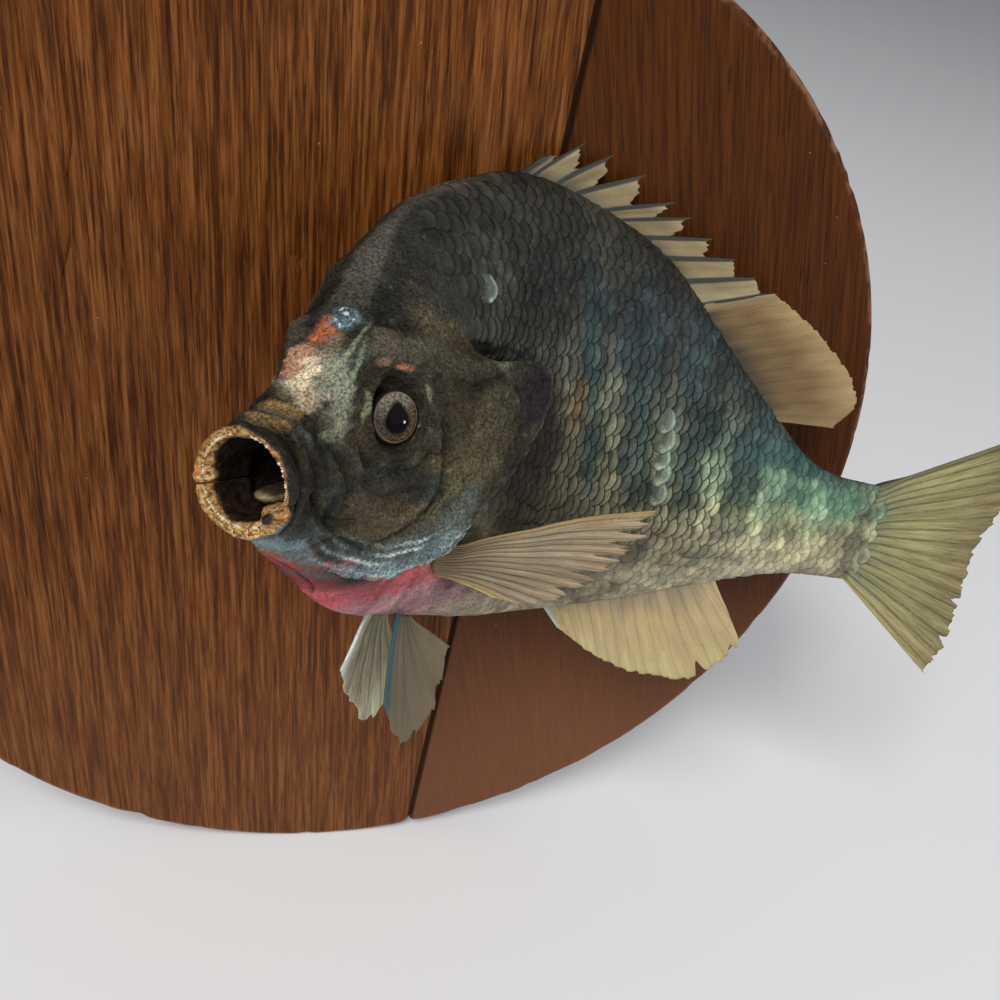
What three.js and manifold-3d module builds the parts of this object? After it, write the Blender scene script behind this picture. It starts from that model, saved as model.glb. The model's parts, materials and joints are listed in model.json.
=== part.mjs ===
// A bluegill sunfish mounted on a round wall board. Millimetres, +Z up.
// The board's back lies on the wall, the plane Y = 0, and the fish faces -Y.
// The origin is the middle of the board's back.
import * as THREE from 'three';
import { mergeVertices } from 'three/addons/utils/BufferGeometryUtils.js';
import Module from 'manifold-3d';

// ---- Driving dimensions, millimetres ----
const BOARD_DIAMETER = 228.6;
const BOARD_THICKNESS = 12;
const BOARD_EDGE_RADIUS = 2;
const GROOVE_X = 24.6;
const GROOVE_WIDTH = 1.4;
const GROOVE_DEPTH = 1.0;
const BODY_LENGTH = 165;
const MIDDLE_X = 24;
const MIDDLE_Y = -29;
const MIDDLE_Z = 15.5;
const GAP = 0.3;
const FIN_EDGE = 0.7;
const ORBIT_RADIUS = 5.7;
const ORBIT_DEPTH = 3.6;
const EYE_RADIUS = 5.2;

// ---- Proportions of the fish, in hundredths of the body length ----
// Stations run along the spine: 0 is the snout, 100 the root of the tail fin.
const SPINE_AT = [0, 20, 40, 60, 80, 100];
const SPINE_YAW = [47, 52, 26, -4, -9, -10];
const TILT_AT = [0, 50, 100];
const SPINE_PITCH = [-15, -14, -2];
const SPINE_ROLL = [9, 13, 8];
const PROFILE_AT = [0, 5, 10, 15, 20, 25, 30, 40, 50, 60, 70, 80, 90, 100];
const BACK_HEIGHT = [4.6, 7.7, 11.8, 16.1, 21.2, 25, 27.5, 31, 30, 26.9, 20.8, 14.3, 8.3, 7.3];
const BELLY_DEPTH = [6, 10, 13.4, 16.4, 18.6, 20, 21, 22.6, 23, 20.8, 16.7, 11.8, 8.1, 7.2];
const BODY_HALF_WIDTH = [4.5, 5.5, 6.7, 7.6, 8.1, 8.3, 8.4, 8.4, 7.8, 6.7, 5.3, 3.9, 2.5, 1.5];
const CHEEK_AT = [0, 6, 13.5, 25, 38];
const CHEEK_HALF_WIDTH = [4.9, 4.6, 6.9, 11.5, 12.9];
const THROAT_AT = [0, 4, 8, 13, 18, 21];
const THROAT_DEPTH = [9, 7.4, 9.9, 12, 12.3, 12.2];
const HEAD_END = 20;
const STEM_START = 76;
const THIN_CUT = 0.2;

const TURN = Math.PI * 2;
const HUNDREDTH = BODY_LENGTH / 100;
const BOARD_RADIUS = BOARD_DIAMETER / 2;

function ease(low, high, x) {
  const t = Math.min(Math.max((x - low) / (high - low), 0), 1);
  return t * t * (3 - 2 * t);
}

// A smooth curve through knots: a cubic whose slope at a knot comes from its two neighbours.
function smooth(knots, values, x) {
  const last = knots.length - 1;
  const at = Math.min(Math.max(x, knots[0]), knots[last]);
  let i = 0;
  while (i < last - 1 && at >= knots[i + 1]) {
    i += 1;
  }
  const slope = (k) => {
    const a = Math.max(k - 1, 0);
    const b = Math.min(k + 1, last);
    return (values[b] - values[a]) / (knots[b] - knots[a]);
  };
  const h = knots[i + 1] - knots[i];
  const t = (at - knots[i]) / h;
  const fromLeft = values[i] * (1 + 2 * t) * (1 - t) ** 2 + slope(i) * h * t * (1 - t) ** 2;
  const fromRight = values[i + 1] * t * t * (3 - 2 * t) - slope(i + 1) * h * t * t * (1 - t);
  return fromLeft + fromRight;
}

// ---- The bent spine ----
// One frame for each hundredth of the length: a point, the way towards the tail,
// the fish's left and the way to its back.
const SPINE_FIRST = -12;
const SPINE_LAST = 140;

function makeSpine() {
  const frames = [];
  for (let s = SPINE_FIRST; s <= SPINE_LAST; s += 1) {
    const yaw = THREE.MathUtils.degToRad(smooth(SPINE_AT, SPINE_YAW, s));
    const pitch = THREE.MathUtils.degToRad(smooth(TILT_AT, SPINE_PITCH, s));
    const roll = THREE.MathUtils.degToRad(smooth(TILT_AT, SPINE_ROLL, s));
    const along = new THREE.Vector3(
      Math.cos(yaw) * Math.cos(pitch), Math.sin(yaw) * Math.cos(pitch), Math.sin(pitch));
    const side = new THREE.Vector3().crossVectors(along, new THREE.Vector3(0, 0, 1)).normalize();
    const up = new THREE.Vector3().crossVectors(side, along);
    const left = side.clone().multiplyScalar(Math.cos(roll)).addScaledVector(up, Math.sin(roll));
    const back = up.clone().multiplyScalar(Math.cos(roll)).addScaledVector(side, -Math.sin(roll));
    const point = new THREE.Vector3();
    if (frames.length > 0) {
      const before = frames[frames.length - 1];
      point.copy(before.point).addScaledVector(before.along, HUNDREDTH / 2);
      point.addScaledVector(along, HUNDREDTH / 2);
    }
    frames.push({ point, along, left, back });
  }
  const shift = new THREE.Vector3(MIDDLE_X, MIDDLE_Y, MIDDLE_Z).sub(frames[50 - SPINE_FIRST].point);
  frames.forEach((frame) => frame.point.add(shift));
  return frames;
}

const SPINE = makeSpine();

// A point at a station, so far to the fish's left and so high, all in hundredths.
// What would reach into the board is pressed flat against its front.
function place(s, left, up) {
  const at = Math.min(Math.max(s - SPINE_FIRST, 0), SPINE.length - 1.001);
  const i = Math.floor(at);
  const t = at - i;
  const mix = (name) => SPINE[i][name].clone().lerp(SPINE[i + 1][name], t);
  const p = mix('point').addScaledVector(mix('left'), left * HUNDREDTH);
  p.addScaledVector(mix('back'), up * HUNDREDTH);
  p.y = Math.min(p.y, -BOARD_THICKNESS - GAP);
  return p;
}

// ---- Widths of the body ----
const backHeight = (s) => smooth(PROFILE_AT, BACK_HEIGHT, s);
const bellyDepth = (s) => smooth(PROFILE_AT, BELLY_DEPTH, s);
const bodyWidth = (s) => smooth(PROFILE_AT, BODY_HALF_WIDTH, s);
const cheekFlare = (s) => smooth(CHEEK_AT, CHEEK_HALF_WIDTH, s) - bodyWidth(s);
const throatDepth = (s) => smooth(THROAT_AT, THROAT_DEPTH, s);

// The cheeks and gill covers stand out below the shoulder and fade towards the nape.
const headWidth = (s, z) => bodyWidth(s) + cheekFlare(s) * (1 - ease(8, 16, z));

// Under the gill covers the trunk is narrower; above them it keeps the shoulder's width.
function trunkWidth(s, z) {
  const above = ease(7, 15, z);
  const shoulder = cheekFlare(s) * (1 - ease(8, 16, z)) * (1 - ease(26, 42, s));
  const hollow = 2.2 * ease(14, 24, s) * (1 - ease(36, 48, s));
  return bodyWidth(s) + shoulder * above - hollow * (1 - above);
}

const throatWidth = (s) => bodyWidth(s) - 1.2;

// The forehead is broad and nearly flat; from the nape on, a section is a plain oval.
const roundness = (s) => 0.6 + 0.4 * ease(9, 22, s);

function crossing(s, z) {
  const ratio = z > 0 ? z / backHeight(s) : -z / bellyDepth(s);
  return Math.sqrt(Math.max(1 - ratio * ratio, 0)) ** (z > 0 ? roundness(s) : 1);
}

// ---- Making closed meshes ----
function closedGeometry(points, triangles) {
  let geometry = new THREE.BufferGeometry();
  const flat = new Float32Array(points.length * 3);
  points.forEach((p, i) => p.toArray(flat, i * 3));
  geometry.setAttribute('position', new THREE.BufferAttribute(flat, 3));
  geometry.setIndex(triangles);
  geometry = mergeVertices(geometry, 1e-4);
  const position = geometry.getAttribute('position');
  const kept = [];
  const old = geometry.getIndex().array;
  let volume = 0;
  const a = new THREE.Vector3();
  const b = new THREE.Vector3();
  const c = new THREE.Vector3();
  for (let i = 0; i < old.length; i += 3) {
    if (old[i] !== old[i + 1] && old[i + 1] !== old[i + 2] && old[i + 2] !== old[i]) {
      kept.push(old[i], old[i + 1], old[i + 2]);
      a.fromBufferAttribute(position, old[i]);
      b.fromBufferAttribute(position, old[i + 1]);
      c.fromBufferAttribute(position, old[i + 2]);
      volume += a.dot(b.cross(c));
    }
  }
  geometry.setIndex(volume < 0 ? kept.reverse() : kept);
  geometry.computeVertexNormals();
  return geometry;
}

// Closed rings joined in a row, with a fan over the first and the last.
function loft(rings) {
  const count = rings[0].length;
  const points = rings.flat();
  const triangles = [];
  for (let i = 0; i < rings.length - 1; i += 1) {
    for (let k = 0; k < count; k += 1) {
      const a = i * count + k;
      const b = i * count + (k + 1) % count;
      triangles.push(a, b, a + count, b, b + count, a + count);
    }
  }
  const cap = (first, ring, turned) => {
    const middle = new THREE.Vector3();
    ring.forEach((p) => middle.addScaledVector(p, 1 / count));
    const at = points.push(middle) - 1;
    for (let k = 0; k < count; k += 1) {
      const a = first + k;
      const b = first + (k + 1) % count;
      triangles.push(...(turned ? [a, b, at] : [b, a, at]));
    }
  };
  cap(0, rings[0], false);
  cap((rings.length - 1) * count, rings[rings.length - 1], true);
  return closedGeometry(points, triangles);
}

// Two sheets of points of the same size, one over the other, joined round their edge.
function slab(front, back) {
  const rows = front.length;
  const columns = front[0].length;
  const points = [...front.flat(), ...back.flat()];
  const under = rows * columns;
  const triangles = [];
  const quad = (a, b, c, d) => triangles.push(a, b, c, a, c, d);
  for (let i = 0; i < rows - 1; i += 1) {
    for (let j = 0; j < columns - 1; j += 1) {
      const a = i * columns + j;
      quad(a, a + 1, a + 1 + columns, a + columns);
      quad(under + a + columns, under + a + 1 + columns, under + a + 1, under + a);
    }
  }
  const wall = (a, b) => quad(b, a, under + a, under + b);
  for (let j = 0; j < columns - 1; j += 1) {
    wall(j, j + 1);
    wall((rows - 1) * columns + j + 1, (rows - 1) * columns + j);
  }
  for (let i = 0; i < rows - 1; i += 1) {
    wall((i + 1) * columns, i * columns);
    wall(i * columns + columns - 1, (i + 1) * columns + columns - 1);
  }
  return closedGeometry(points, triangles);
}

function sheet(rows, columns, pointAt) {
  const points = [];
  for (let i = 0; i <= rows; i += 1) {
    const line = [];
    for (let j = 0; j <= columns; j += 1) {
      line.push(pointAt(i / rows, j / columns));
    }
    points.push(line);
  }
  return points;
}

const wasm = await Module();
wasm.setup();

function toSolid(geometry) {
  const bare = new THREE.BufferGeometry();
  bare.setAttribute('position', geometry.getAttribute('position').clone());
  if (geometry.getIndex()) {
    bare.setIndex(geometry.getIndex().clone());
  }
  const merged = mergeVertices(bare, 1e-4);
  return new wasm.Manifold(new wasm.Mesh({
    numProp: 3,
    vertProperties: new Float32Array(merged.getAttribute('position').array),
    triVerts: new Uint32Array(merged.getIndex().array),
  }));
}

function fromSolid(solid) {
  const mesh = solid.getMesh();
  const geometry = new THREE.BufferGeometry();
  geometry.setAttribute('position', new THREE.BufferAttribute(new Float32Array(mesh.vertProperties), 3));
  geometry.setIndex(new THREE.BufferAttribute(new Uint32Array(mesh.triVerts), 1));
  geometry.computeVertexNormals();
  return geometry;
}

const model = new THREE.Group();

function add(name, geometry, color, roughness) {
  const material = new THREE.MeshStandardMaterial({ color, roughness, metalness: 0 });
  const mesh = new THREE.Mesh(geometry, material);
  mesh.name = name;
  model.add(mesh);
}

// ---- The board: a turned disc of two planks, with the joint between them as a shallow groove ----
const BOARD_SEGMENTS = 72;
const ROUND_STEPS = 2;

function boardProfile() {
  const profile = [new THREE.Vector2(0, 0), new THREE.Vector2(BOARD_RADIUS - BOARD_EDGE_RADIUS / 2, 0)];
  profile.push(new THREE.Vector2(BOARD_RADIUS, BOARD_EDGE_RADIUS / 2));
  for (let i = 0; i <= ROUND_STEPS; i += 1) {
    const angle = (i / ROUND_STEPS) * (TURN / 4);
    profile.push(new THREE.Vector2(
      BOARD_RADIUS - BOARD_EDGE_RADIUS * (1 - Math.cos(angle)),
      BOARD_THICKNESS - BOARD_EDGE_RADIUS * (1 - Math.sin(angle))));
  }
  profile.push(new THREE.Vector2(0, BOARD_THICKNESS));
  return profile;
}

// The lathe turns about Y, so its far end is turned over to face -Y.
const disc = new THREE.LatheGeometry(boardProfile(), BOARD_SEGMENTS);
disc.rotateX(Math.PI);
const grooveShape = new THREE.Shape([
  new THREE.Vector2(-GROOVE_WIDTH / 2, 1),
  new THREE.Vector2(-GROOVE_WIDTH / 2, 0),
  new THREE.Vector2(0, -GROOVE_DEPTH),
  new THREE.Vector2(GROOVE_WIDTH / 2, 0),
  new THREE.Vector2(GROOVE_WIDTH / 2, 1),
]);
const groove = new THREE.ExtrudeGeometry(grooveShape, { depth: BOARD_DIAMETER + 4, bevelEnabled: false });
groove.rotateX(Math.PI);
groove.translate(GROOVE_X, -BOARD_THICKNESS, BOARD_RADIUS + 2);
add('board', fromSolid(toSolid(disc).subtract(toSolid(groove))), 0x6b3a1f, 0.45);

// ---- Trunk, tail stem and throat: lengths of one body, parted by thin cuts ----
const BODY_SIDES = 36;

function bodyRing(s, widthAt, floor) {
  const ring = [];
  for (let k = 0; k < BODY_SIDES; k += 1) {
    const angle = ((k + 0.5) / BODY_SIDES) * TURN;
    const rise = Math.sin(angle);
    const z = rise * (rise > 0 ? backHeight(s) : bellyDepth(s));
    const left = widthAt(s, z) * crossing(s, z) * Math.sign(Math.cos(angle));
    ring.push(place(s, left, Math.max(z, floor)));
  }
  return ring;
}

function stations(from, to, count) {
  return Array.from({ length: count + 1 }, (_, i) => from + ((to - from) * i) / count);
}

const trunkRings = stations(HEAD_END + THIN_CUT, STEM_START - THIN_CUT, 15)
  .map((s) => bodyRing(s, trunkWidth, -bellyDepth(s)));
add('trunk', loft(trunkRings), 0x5d6a5c, 0.5);

const stemRings = stations(STEM_START, 100, 6).map((s) => bodyRing(s, trunkWidth, -bellyDepth(s)));
add('tail_stem', loft(stemRings), 0x6f8270, 0.5);

// ---- The head: skull and cheeks as far as the gill covers, hollowed by the mouth ----
const MOUTH_HEIGHT = -0.7;
const SNOUT_RIM = 0.6;
const HEAD_STATIONS = [20, 18.4, 16.8, 15.2, 13.6, 12, 10.4, 8.8, 7.2, 5.6, 4, 2.6, 1.4, SNOUT_RIM];
// Each step of the mouth's hollow: station, half height, half width.
const MOUTH_HOLLOW = [[SNOUT_RIM, 4.7, 4.3], [2.2, 4.4, 4.0], [3.8, 4.1, 3.7], [6.2, 3.9, 3.0], [8.8, 3.0, 1.8]];

function ovalRing(s, halfHeight, halfWidth) {
  const ring = [];
  for (let k = 0; k < BODY_SIDES; k += 1) {
    const angle = ((k + 0.5) / BODY_SIDES) * TURN;
    ring.push(place(s, halfWidth * Math.cos(angle), MOUTH_HEIGHT + halfHeight * Math.sin(angle)));
  }
  return ring;
}

const headRings = HEAD_STATIONS.map((s) => bodyRing(s, headWidth, -throatDepth(s)));
MOUTH_HOLLOW.forEach(([s, halfHeight, halfWidth]) => headRings.push(ovalRing(s, halfHeight, halfWidth)));
const headSolid = toSolid(loft(headRings));

// ---- The eyes: domed discs set into orbits on both sides ----
const EYE_STATION = 13.4;
const EYE_HEIGHT = 5;
const EYE_SIDES = 20;
const EYE_FORWARD = 0.24;
const EYE_REACH = 3;

function eyeFrame(side) {
  const surface = (s, z) => place(s, side * headWidth(s, z) * crossing(s, z), z);
  const centre = surface(EYE_STATION, EYE_HEIGHT);
  const ahead = surface(EYE_STATION - EYE_REACH, EYE_HEIGHT);
  const along = surface(EYE_STATION + EYE_REACH, EYE_HEIGHT).sub(ahead).normalize();
  const under = surface(EYE_STATION, EYE_HEIGHT - EYE_REACH);
  const up = surface(EYE_STATION, EYE_HEIGHT + EYE_REACH).sub(under);
  const out = new THREE.Vector3().crossVectors(along, up).multiplyScalar(side).normalize();
  out.addScaledVector(along, -EYE_FORWARD).normalize();
  return { centre, out };
}

// A turned body whose axis points out of the head: profile points are radius and height.
function turned(profile, frame) {
  const geometry = new THREE.LatheGeometry(profile.map(([r, h]) => new THREE.Vector2(r, h)), EYE_SIDES);
  const turn = new THREE.Quaternion().setFromUnitVectors(new THREE.Vector3(0, 1, 0), frame.out);
  geometry.applyQuaternion(turn);
  geometry.translate(frame.centre.x, frame.centre.y, frame.centre.z);
  return geometry;
}

const ORBIT_PROFILE = [
  [0, -ORBIT_DEPTH], [ORBIT_RADIUS * 0.8, -ORBIT_DEPTH], [ORBIT_RADIUS, -ORBIT_DEPTH * 0.5],
  [ORBIT_RADIUS, 4], [0, 4],
];
const EYE_DOME = 1.8;
const EYE_BACK = 3.2;
const EYE_SINK = 1.3;

function eyeProfile() {
  const profile = [[0, -EYE_BACK], [EYE_RADIUS * 0.8, -EYE_BACK], [EYE_RADIUS, -EYE_BACK * 0.5]];
  for (let i = 0; i <= 3; i += 1) {
    const angle = (i / 3) * (TURN / 4);
    profile.push([EYE_RADIUS * Math.cos(angle), EYE_DOME * Math.sin(angle) - EYE_SINK]);
  }
  return profile;
}

let head = headSolid;
[['left', 1], ['right', -1]].forEach(([word, side]) => {
  const frame = eyeFrame(side);
  head = head.subtract(toSolid(turned(ORBIT_PROFILE, frame)));
  add(`eye_${word}`, closedFromLathe(turned(eyeProfile(), frame)), 0x6e675c, 0.1);
});
add('head', fromSolid(head), 0x3d433b, 0.45);

// Merges the seam and the poles of a turned body.
function closedFromLathe(geometry) {
  return fromSolid(toSolid(geometry));
}

// ---- The throat and breast below the gill covers ----
const THROAT_START = 3;
const THROAT_SIDES = 14;

function throatRing(s) {
  const top = Math.asin((throatDepth(s) + THIN_CUT) / bellyDepth(s));
  const ring = [];
  for (let k = 0; k <= THROAT_SIDES; k += 1) {
    const angle = -top - ((Math.PI - 2 * top) * k) / THROAT_SIDES;
    ring.push(place(s, throatWidth(s) * Math.cos(angle), bellyDepth(s) * Math.sin(angle)));
  }
  return ring;
}

const throatRings = stations(THROAT_START, HEAD_END, 7).map(throatRing);
add('throat', loft(throatRings), 0x8c3a3f, 0.5);

// ---- The jaws: an open ring in front of the snout, parted at the corners of the mouth ----
const CORNER = 12;
const JAW_GAP_DEGREES = 3;
// Each step of the ring, from inside the snout to the lip: station, half height, half width, wall.
const JAW_STEPS = [
  [3.4, 3.9, 3.5, 0.8], [1.6, 4.2, 3.8, 0.8], [0.2, 4.5, 4.1, 0.9], [-1.1, 4.8, 4.5, 1.0],
  [-2.2, 5.0, 4.8, 1.1], [-2.8, 4.9, 4.7, 0.9],
];
const LIP_TILT = 0.8;

function jaw(fromDegrees, toDegrees, sides) {
  const pointAt = (inner) => (u, v) => {
    const step = JAW_STEPS[Math.round(v * (JAW_STEPS.length - 1))];
    const angle = THREE.MathUtils.degToRad(fromDegrees + (toDegrees - fromDegrees) * u);
    const wall = inner ? step[3] : 0;
    const tilt = LIP_TILT * v * v * Math.sin(angle);
    return place(
      step[0] - tilt,
      (step[2] - wall) * Math.cos(angle),
      MOUTH_HEIGHT + (step[1] - wall) * Math.sin(angle));
  };
  const steps = JAW_STEPS.length - 1;
  return slab(sheet(sides, steps, pointAt(false)), sheet(sides, steps, pointAt(true)));
}

add('upper_jaw', jaw(-CORNER, 180 + CORNER, 20), 0x4a4a3e, 0.6);
add('lower_jaw', jaw(180 + CORNER + JAW_GAP_DEGREES, 360 - CORNER - JAW_GAP_DEGREES, 14), 0x4b5660, 0.6);

// ---- The tongue, low in the mouth ----
const TONGUE_STATIONS = [[8.2, 0.9, 0.9], [6, 1.3, 1.3], [4, 1.35, 1.3], [2.2, 1.25, 1.2], [0.9, 0.9, 0.8], [0.4, 0.3, 0.3]];
const TONGUE_HEIGHT = -2.3;
const TONGUE_LEFT = 0.3;
const TONGUE_SIDES = 14;
const tongueRings = TONGUE_STATIONS.map(([s, halfWidth, halfHeight]) => {
  const ring = [];
  for (let k = 0; k < TONGUE_SIDES; k += 1) {
    const angle = (k / TONGUE_SIDES) * TURN;
    ring.push(place(
      s, TONGUE_LEFT + halfWidth * Math.cos(angle), TONGUE_HEIGHT + 0.6 * halfHeight * Math.sin(angle)));
  }
  return ring;
});
add('tongue', loft(tongueRings), 0x4a3a22, 0.5);

// ---- The gill covers: thin plates over the trunk, each with its rounded ear flap ----
const COVER_HEIGHTS = [-12, -10.8, -8.8, -5, -0.8, 4, 8.2, 10.2];
const COVER_ENDS = [20.7, 22.8, 25.6, 29.1, 34.6, 38.3, 39.6, 37.5];
const COVER_WALL = 1.3;
const COVER_CLEAR = 0.35;

function gillCover(side) {
  const low = COVER_HEIGHTS[0];
  const high = COVER_HEIGHTS[COVER_HEIGHTS.length - 1];
  const pointAt = (inner) => (u, v) => {
    const z = low + (high - low) * v;
    const end = smooth(COVER_HEIGHTS, COVER_ENDS, z);
    const s = HEAD_END + THIN_CUT + (end - HEAD_END - THIN_CUT) * u;
    const outside = headWidth(s, z) * crossing(s, z);
    const trunk = trunkWidth(s, z) * crossing(s, z);
    const wall = COVER_WALL * (1 - 0.4 * u);
    const inside = Math.max(outside - wall, trunk + COVER_CLEAR);
    return place(s, side * (inner ? inside : outside), z);
  };
  return slab(sheet(7, 11, pointAt(false)), sheet(7, 11, pointAt(true)));
}

add('gill_cover_left', gillCover(1), 0x3f443a, 0.45);
add('gill_cover_right', gillCover(-1), 0x3f443a, 0.45);

// ---- The fins: thin plates between a root line and a line of ray tips ----
// root(u) and tip(u) give station and height; off(s, z, r) the distance to the left at reach r.
function fin({ root, tip, off, rays, steps, rootWall, fleshy }) {
  const centre = (u, v) => {
    const [s0, z0] = root(u);
    const [s1, z1] = tip(u);
    const s = s0 + (s1 - s0) * v;
    const z = z0 + (z1 - z0) * v;
    const p = place(s, off(s, z, v * Math.hypot(s1 - s0, z1 - z0)), z);
    p.y = Math.min(p.y, -BOARD_THICKNESS - GAP - rootWall / 2);
    return p;
  };
  const nudge = 0.01;
  const surface = (sign) => (u, v) => {
    const u0 = Math.max(u - nudge, 0);
    const v0 = Math.max(v - nudge, 0);
    const across = centre(Math.min(u + nudge, 1), v).sub(centre(u0, v));
    const along = centre(u, Math.min(v + nudge, 1)).sub(centre(u, v0));
    const normal = across.cross(along).normalize();
    const wall = FIN_EDGE + (rootWall - FIN_EDGE) * (1 - ease(0, fleshy, v));
    return centre(u, v).addScaledVector(normal, (sign * wall) / 2);
  };
  return slab(sheet(rays, steps, surface(1)), sheet(rays, steps, surface(-1)));
}

const line = (knots, stationsAt, heights) => (u) => [smooth(knots, stationsAt, u), smooth(knots, heights, u)];
const FIN_CLEAR = 0.35;
const FIN_COLOR = 0xb09a62;
const onMidline = () => 0;

// Spiny dorsal: ten spines lean back, and the membrane is notched between their tips.
const SPINES = 10;
const SPINY_FROM = 39.6;
const SPINY_TO = 63.4;
const spinyTip = line([0, 0.11, 0.22, 0.33, 0.55, 0.78, 1], [42, 45, 48.8, 52.4, 58.2, 64.6, 70.4],
  [34, 36.2, 36.2, 35.1, 33.2, 30.9, 28.9]);
add('spiny_dorsal_fin', fin({
  root: (u) => {
    const s = SPINY_FROM + (SPINY_TO - SPINY_FROM) * u;
    return [s, backHeight(s) + FIN_CLEAR];
  },
  tip: (u) => {
    const [s, z] = spinyTip(u);
    const notch = Math.sin(u * (SPINES - 1) * Math.PI) ** 2;
    return [s - 0.6 * notch, z - 1.3 * notch];
  },
  off: onMidline, rays: (SPINES - 1) * 3, steps: 3, rootWall: 1.6, fleshy: 0.5,
}), FIN_COLOR, 0.6);

// Soft dorsal: a low front edge and a rounded lobe laid back over the tail stem.
const SOFT_FROM = 63.8;
const SOFT_TO = 85;
add('soft_dorsal_fin', fin({
  root: (u) => {
    const s = SOFT_FROM + (SOFT_TO - SOFT_FROM) * u;
    return [s, backHeight(s) + FIN_CLEAR];
  },
  tip: line([0, 0.25, 0.5, 0.7, 0.88, 1], [71, 79.2, 85.3, 89.2, 92.6, 94.2], [28.6, 25.6, 23, 20.4, 17.4, 14.4]),
  off: onMidline, rays: 14, steps: 4, rootWall: 1.6, fleshy: 0.4,
}), FIN_COLOR, 0.6);

const ANAL_FROM = 61;
const ANAL_TO = 82;
add('anal_fin', fin({
  root: (u) => {
    const s = ANAL_FROM + (ANAL_TO - ANAL_FROM) * u;
    return [s, -bellyDepth(s) - FIN_CLEAR];
  },
  tip: line([0, 0.25, 0.5, 0.75, 0.9, 1], [65, 72.2, 79.2, 85.6, 87.3, 88.4], [-22.8, -26, -27.2, -25.8, -21.8, -17]),
  off: onMidline, rays: 14, steps: 4, rootWall: 1.6, fleshy: 0.4,
}), FIN_COLOR, 0.6);

add('tail_fin', fin({
  root: (u) => [100 + FIN_CLEAR, 6.9 - 13.9 * u],
  tip: line([0, 0.2, 0.4, 0.5, 0.6, 0.8, 1], [120.5, 120.6, 119, 118, 117.6, 118.4, 117.4],
    [19.5, 12.5, 4.5, 0.5, -3.4, -12, -20]),
  off: onMidline, rays: 20, steps: 6, rootWall: 3.8, fleshy: 0.35,
}), FIN_COLOR, 0.6);

// Pectorals: they lie back along the flanks, standing off a little more towards their tips.
function pectoral(side, tip) {
  const standOff = (s, z, reach) => {
    const flank = trunkWidth(s, z) * crossing(s, z);
    return side * (Math.max(flank, 4) + 0.7 + 0.16 * reach);
  };
  return fin({
    root: line([0, 1], [36, 37.2], [-10.2, -15.2]),
    tip,
    off: standOff, rays: 12, steps: 5, rootWall: 1.3, fleshy: 0.3,
  });
}
const PECTORAL_KNOTS = [0, 0.15, 0.3, 0.45, 0.6, 0.75, 0.9, 1];
add('pectoral_fin_left', pectoral(1, line(PECTORAL_KNOTS,
  [66.3, 66.6, 65.4, 64.4, 62.8, 59, 53.4, 46],
  [0.2, -3, -5.6, -8.6, -12, -14.9, -17.3, -17.2])), FIN_COLOR, 0.6);
add('pectoral_fin_right', pectoral(-1, line(PECTORAL_KNOTS,
  [56, 57.4, 57.8, 57.4, 56.2, 53.6, 49.6, 44.6],
  [-8.4, -10.4, -12.4, -14.4, -16.4, -18, -19, -18.6])), FIN_COLOR, 0.6);

// Pelvics: open fans hung from the belly, splayed to each side.
const PELVIC_OFF = 1.8;
const PELVIC_SPLAY = 0.12;
const PELVIC_ROOT_DEPTH = -21.6;

function pelvic(side, tip) {
  return fin({
    root: line([0, 1], [31.6, 34.6], [PELVIC_ROOT_DEPTH, PELVIC_ROOT_DEPTH - 0.4]),
    tip,
    off: (s, z, reach) => side * (PELVIC_OFF + PELVIC_SPLAY * reach),
    rays: 8, steps: 4, rootWall: 1.3, fleshy: 0.3,
  });
}
add('pelvic_fin_left', pelvic(1, line([0, 0.2, 0.4, 0.6, 0.8, 1],
  [28.4, 32.4, 38.4, 44, 45.6, 45.4], [-30.5, -35.2, -37.6, -35.2, -31, -25.6])), 0x7d7a5c, 0.6);
add('pelvic_fin_right', pelvic(-1, line([0, 0.2, 0.4, 0.6, 0.8, 1],
  [27, 30, 34.5, 40, 42.6, 42], [-28, -31.5, -35, -39, -36, -29])), 0x7d7a5c, 0.6);

export default model;
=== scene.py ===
import json
import bpy
import numpy as np
from mathutils import Matrix

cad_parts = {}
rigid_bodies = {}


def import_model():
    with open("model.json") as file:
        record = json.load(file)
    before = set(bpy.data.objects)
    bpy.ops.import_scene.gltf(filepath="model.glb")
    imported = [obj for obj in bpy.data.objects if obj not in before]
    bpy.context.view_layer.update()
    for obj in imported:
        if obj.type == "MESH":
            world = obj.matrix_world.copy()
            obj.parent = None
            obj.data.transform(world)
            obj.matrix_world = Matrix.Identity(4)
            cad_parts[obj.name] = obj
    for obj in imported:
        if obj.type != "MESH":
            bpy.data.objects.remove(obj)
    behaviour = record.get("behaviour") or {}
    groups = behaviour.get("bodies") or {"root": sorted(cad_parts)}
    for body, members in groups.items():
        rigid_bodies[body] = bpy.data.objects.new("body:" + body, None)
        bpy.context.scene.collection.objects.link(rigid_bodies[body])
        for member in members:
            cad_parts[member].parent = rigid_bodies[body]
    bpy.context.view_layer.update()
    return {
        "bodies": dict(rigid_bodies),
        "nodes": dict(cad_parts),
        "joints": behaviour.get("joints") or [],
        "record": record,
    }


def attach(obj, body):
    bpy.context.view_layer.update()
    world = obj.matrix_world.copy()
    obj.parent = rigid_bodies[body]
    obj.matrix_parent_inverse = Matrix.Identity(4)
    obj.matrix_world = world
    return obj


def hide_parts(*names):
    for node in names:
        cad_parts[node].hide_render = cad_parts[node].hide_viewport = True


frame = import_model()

MM = 0.001

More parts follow.
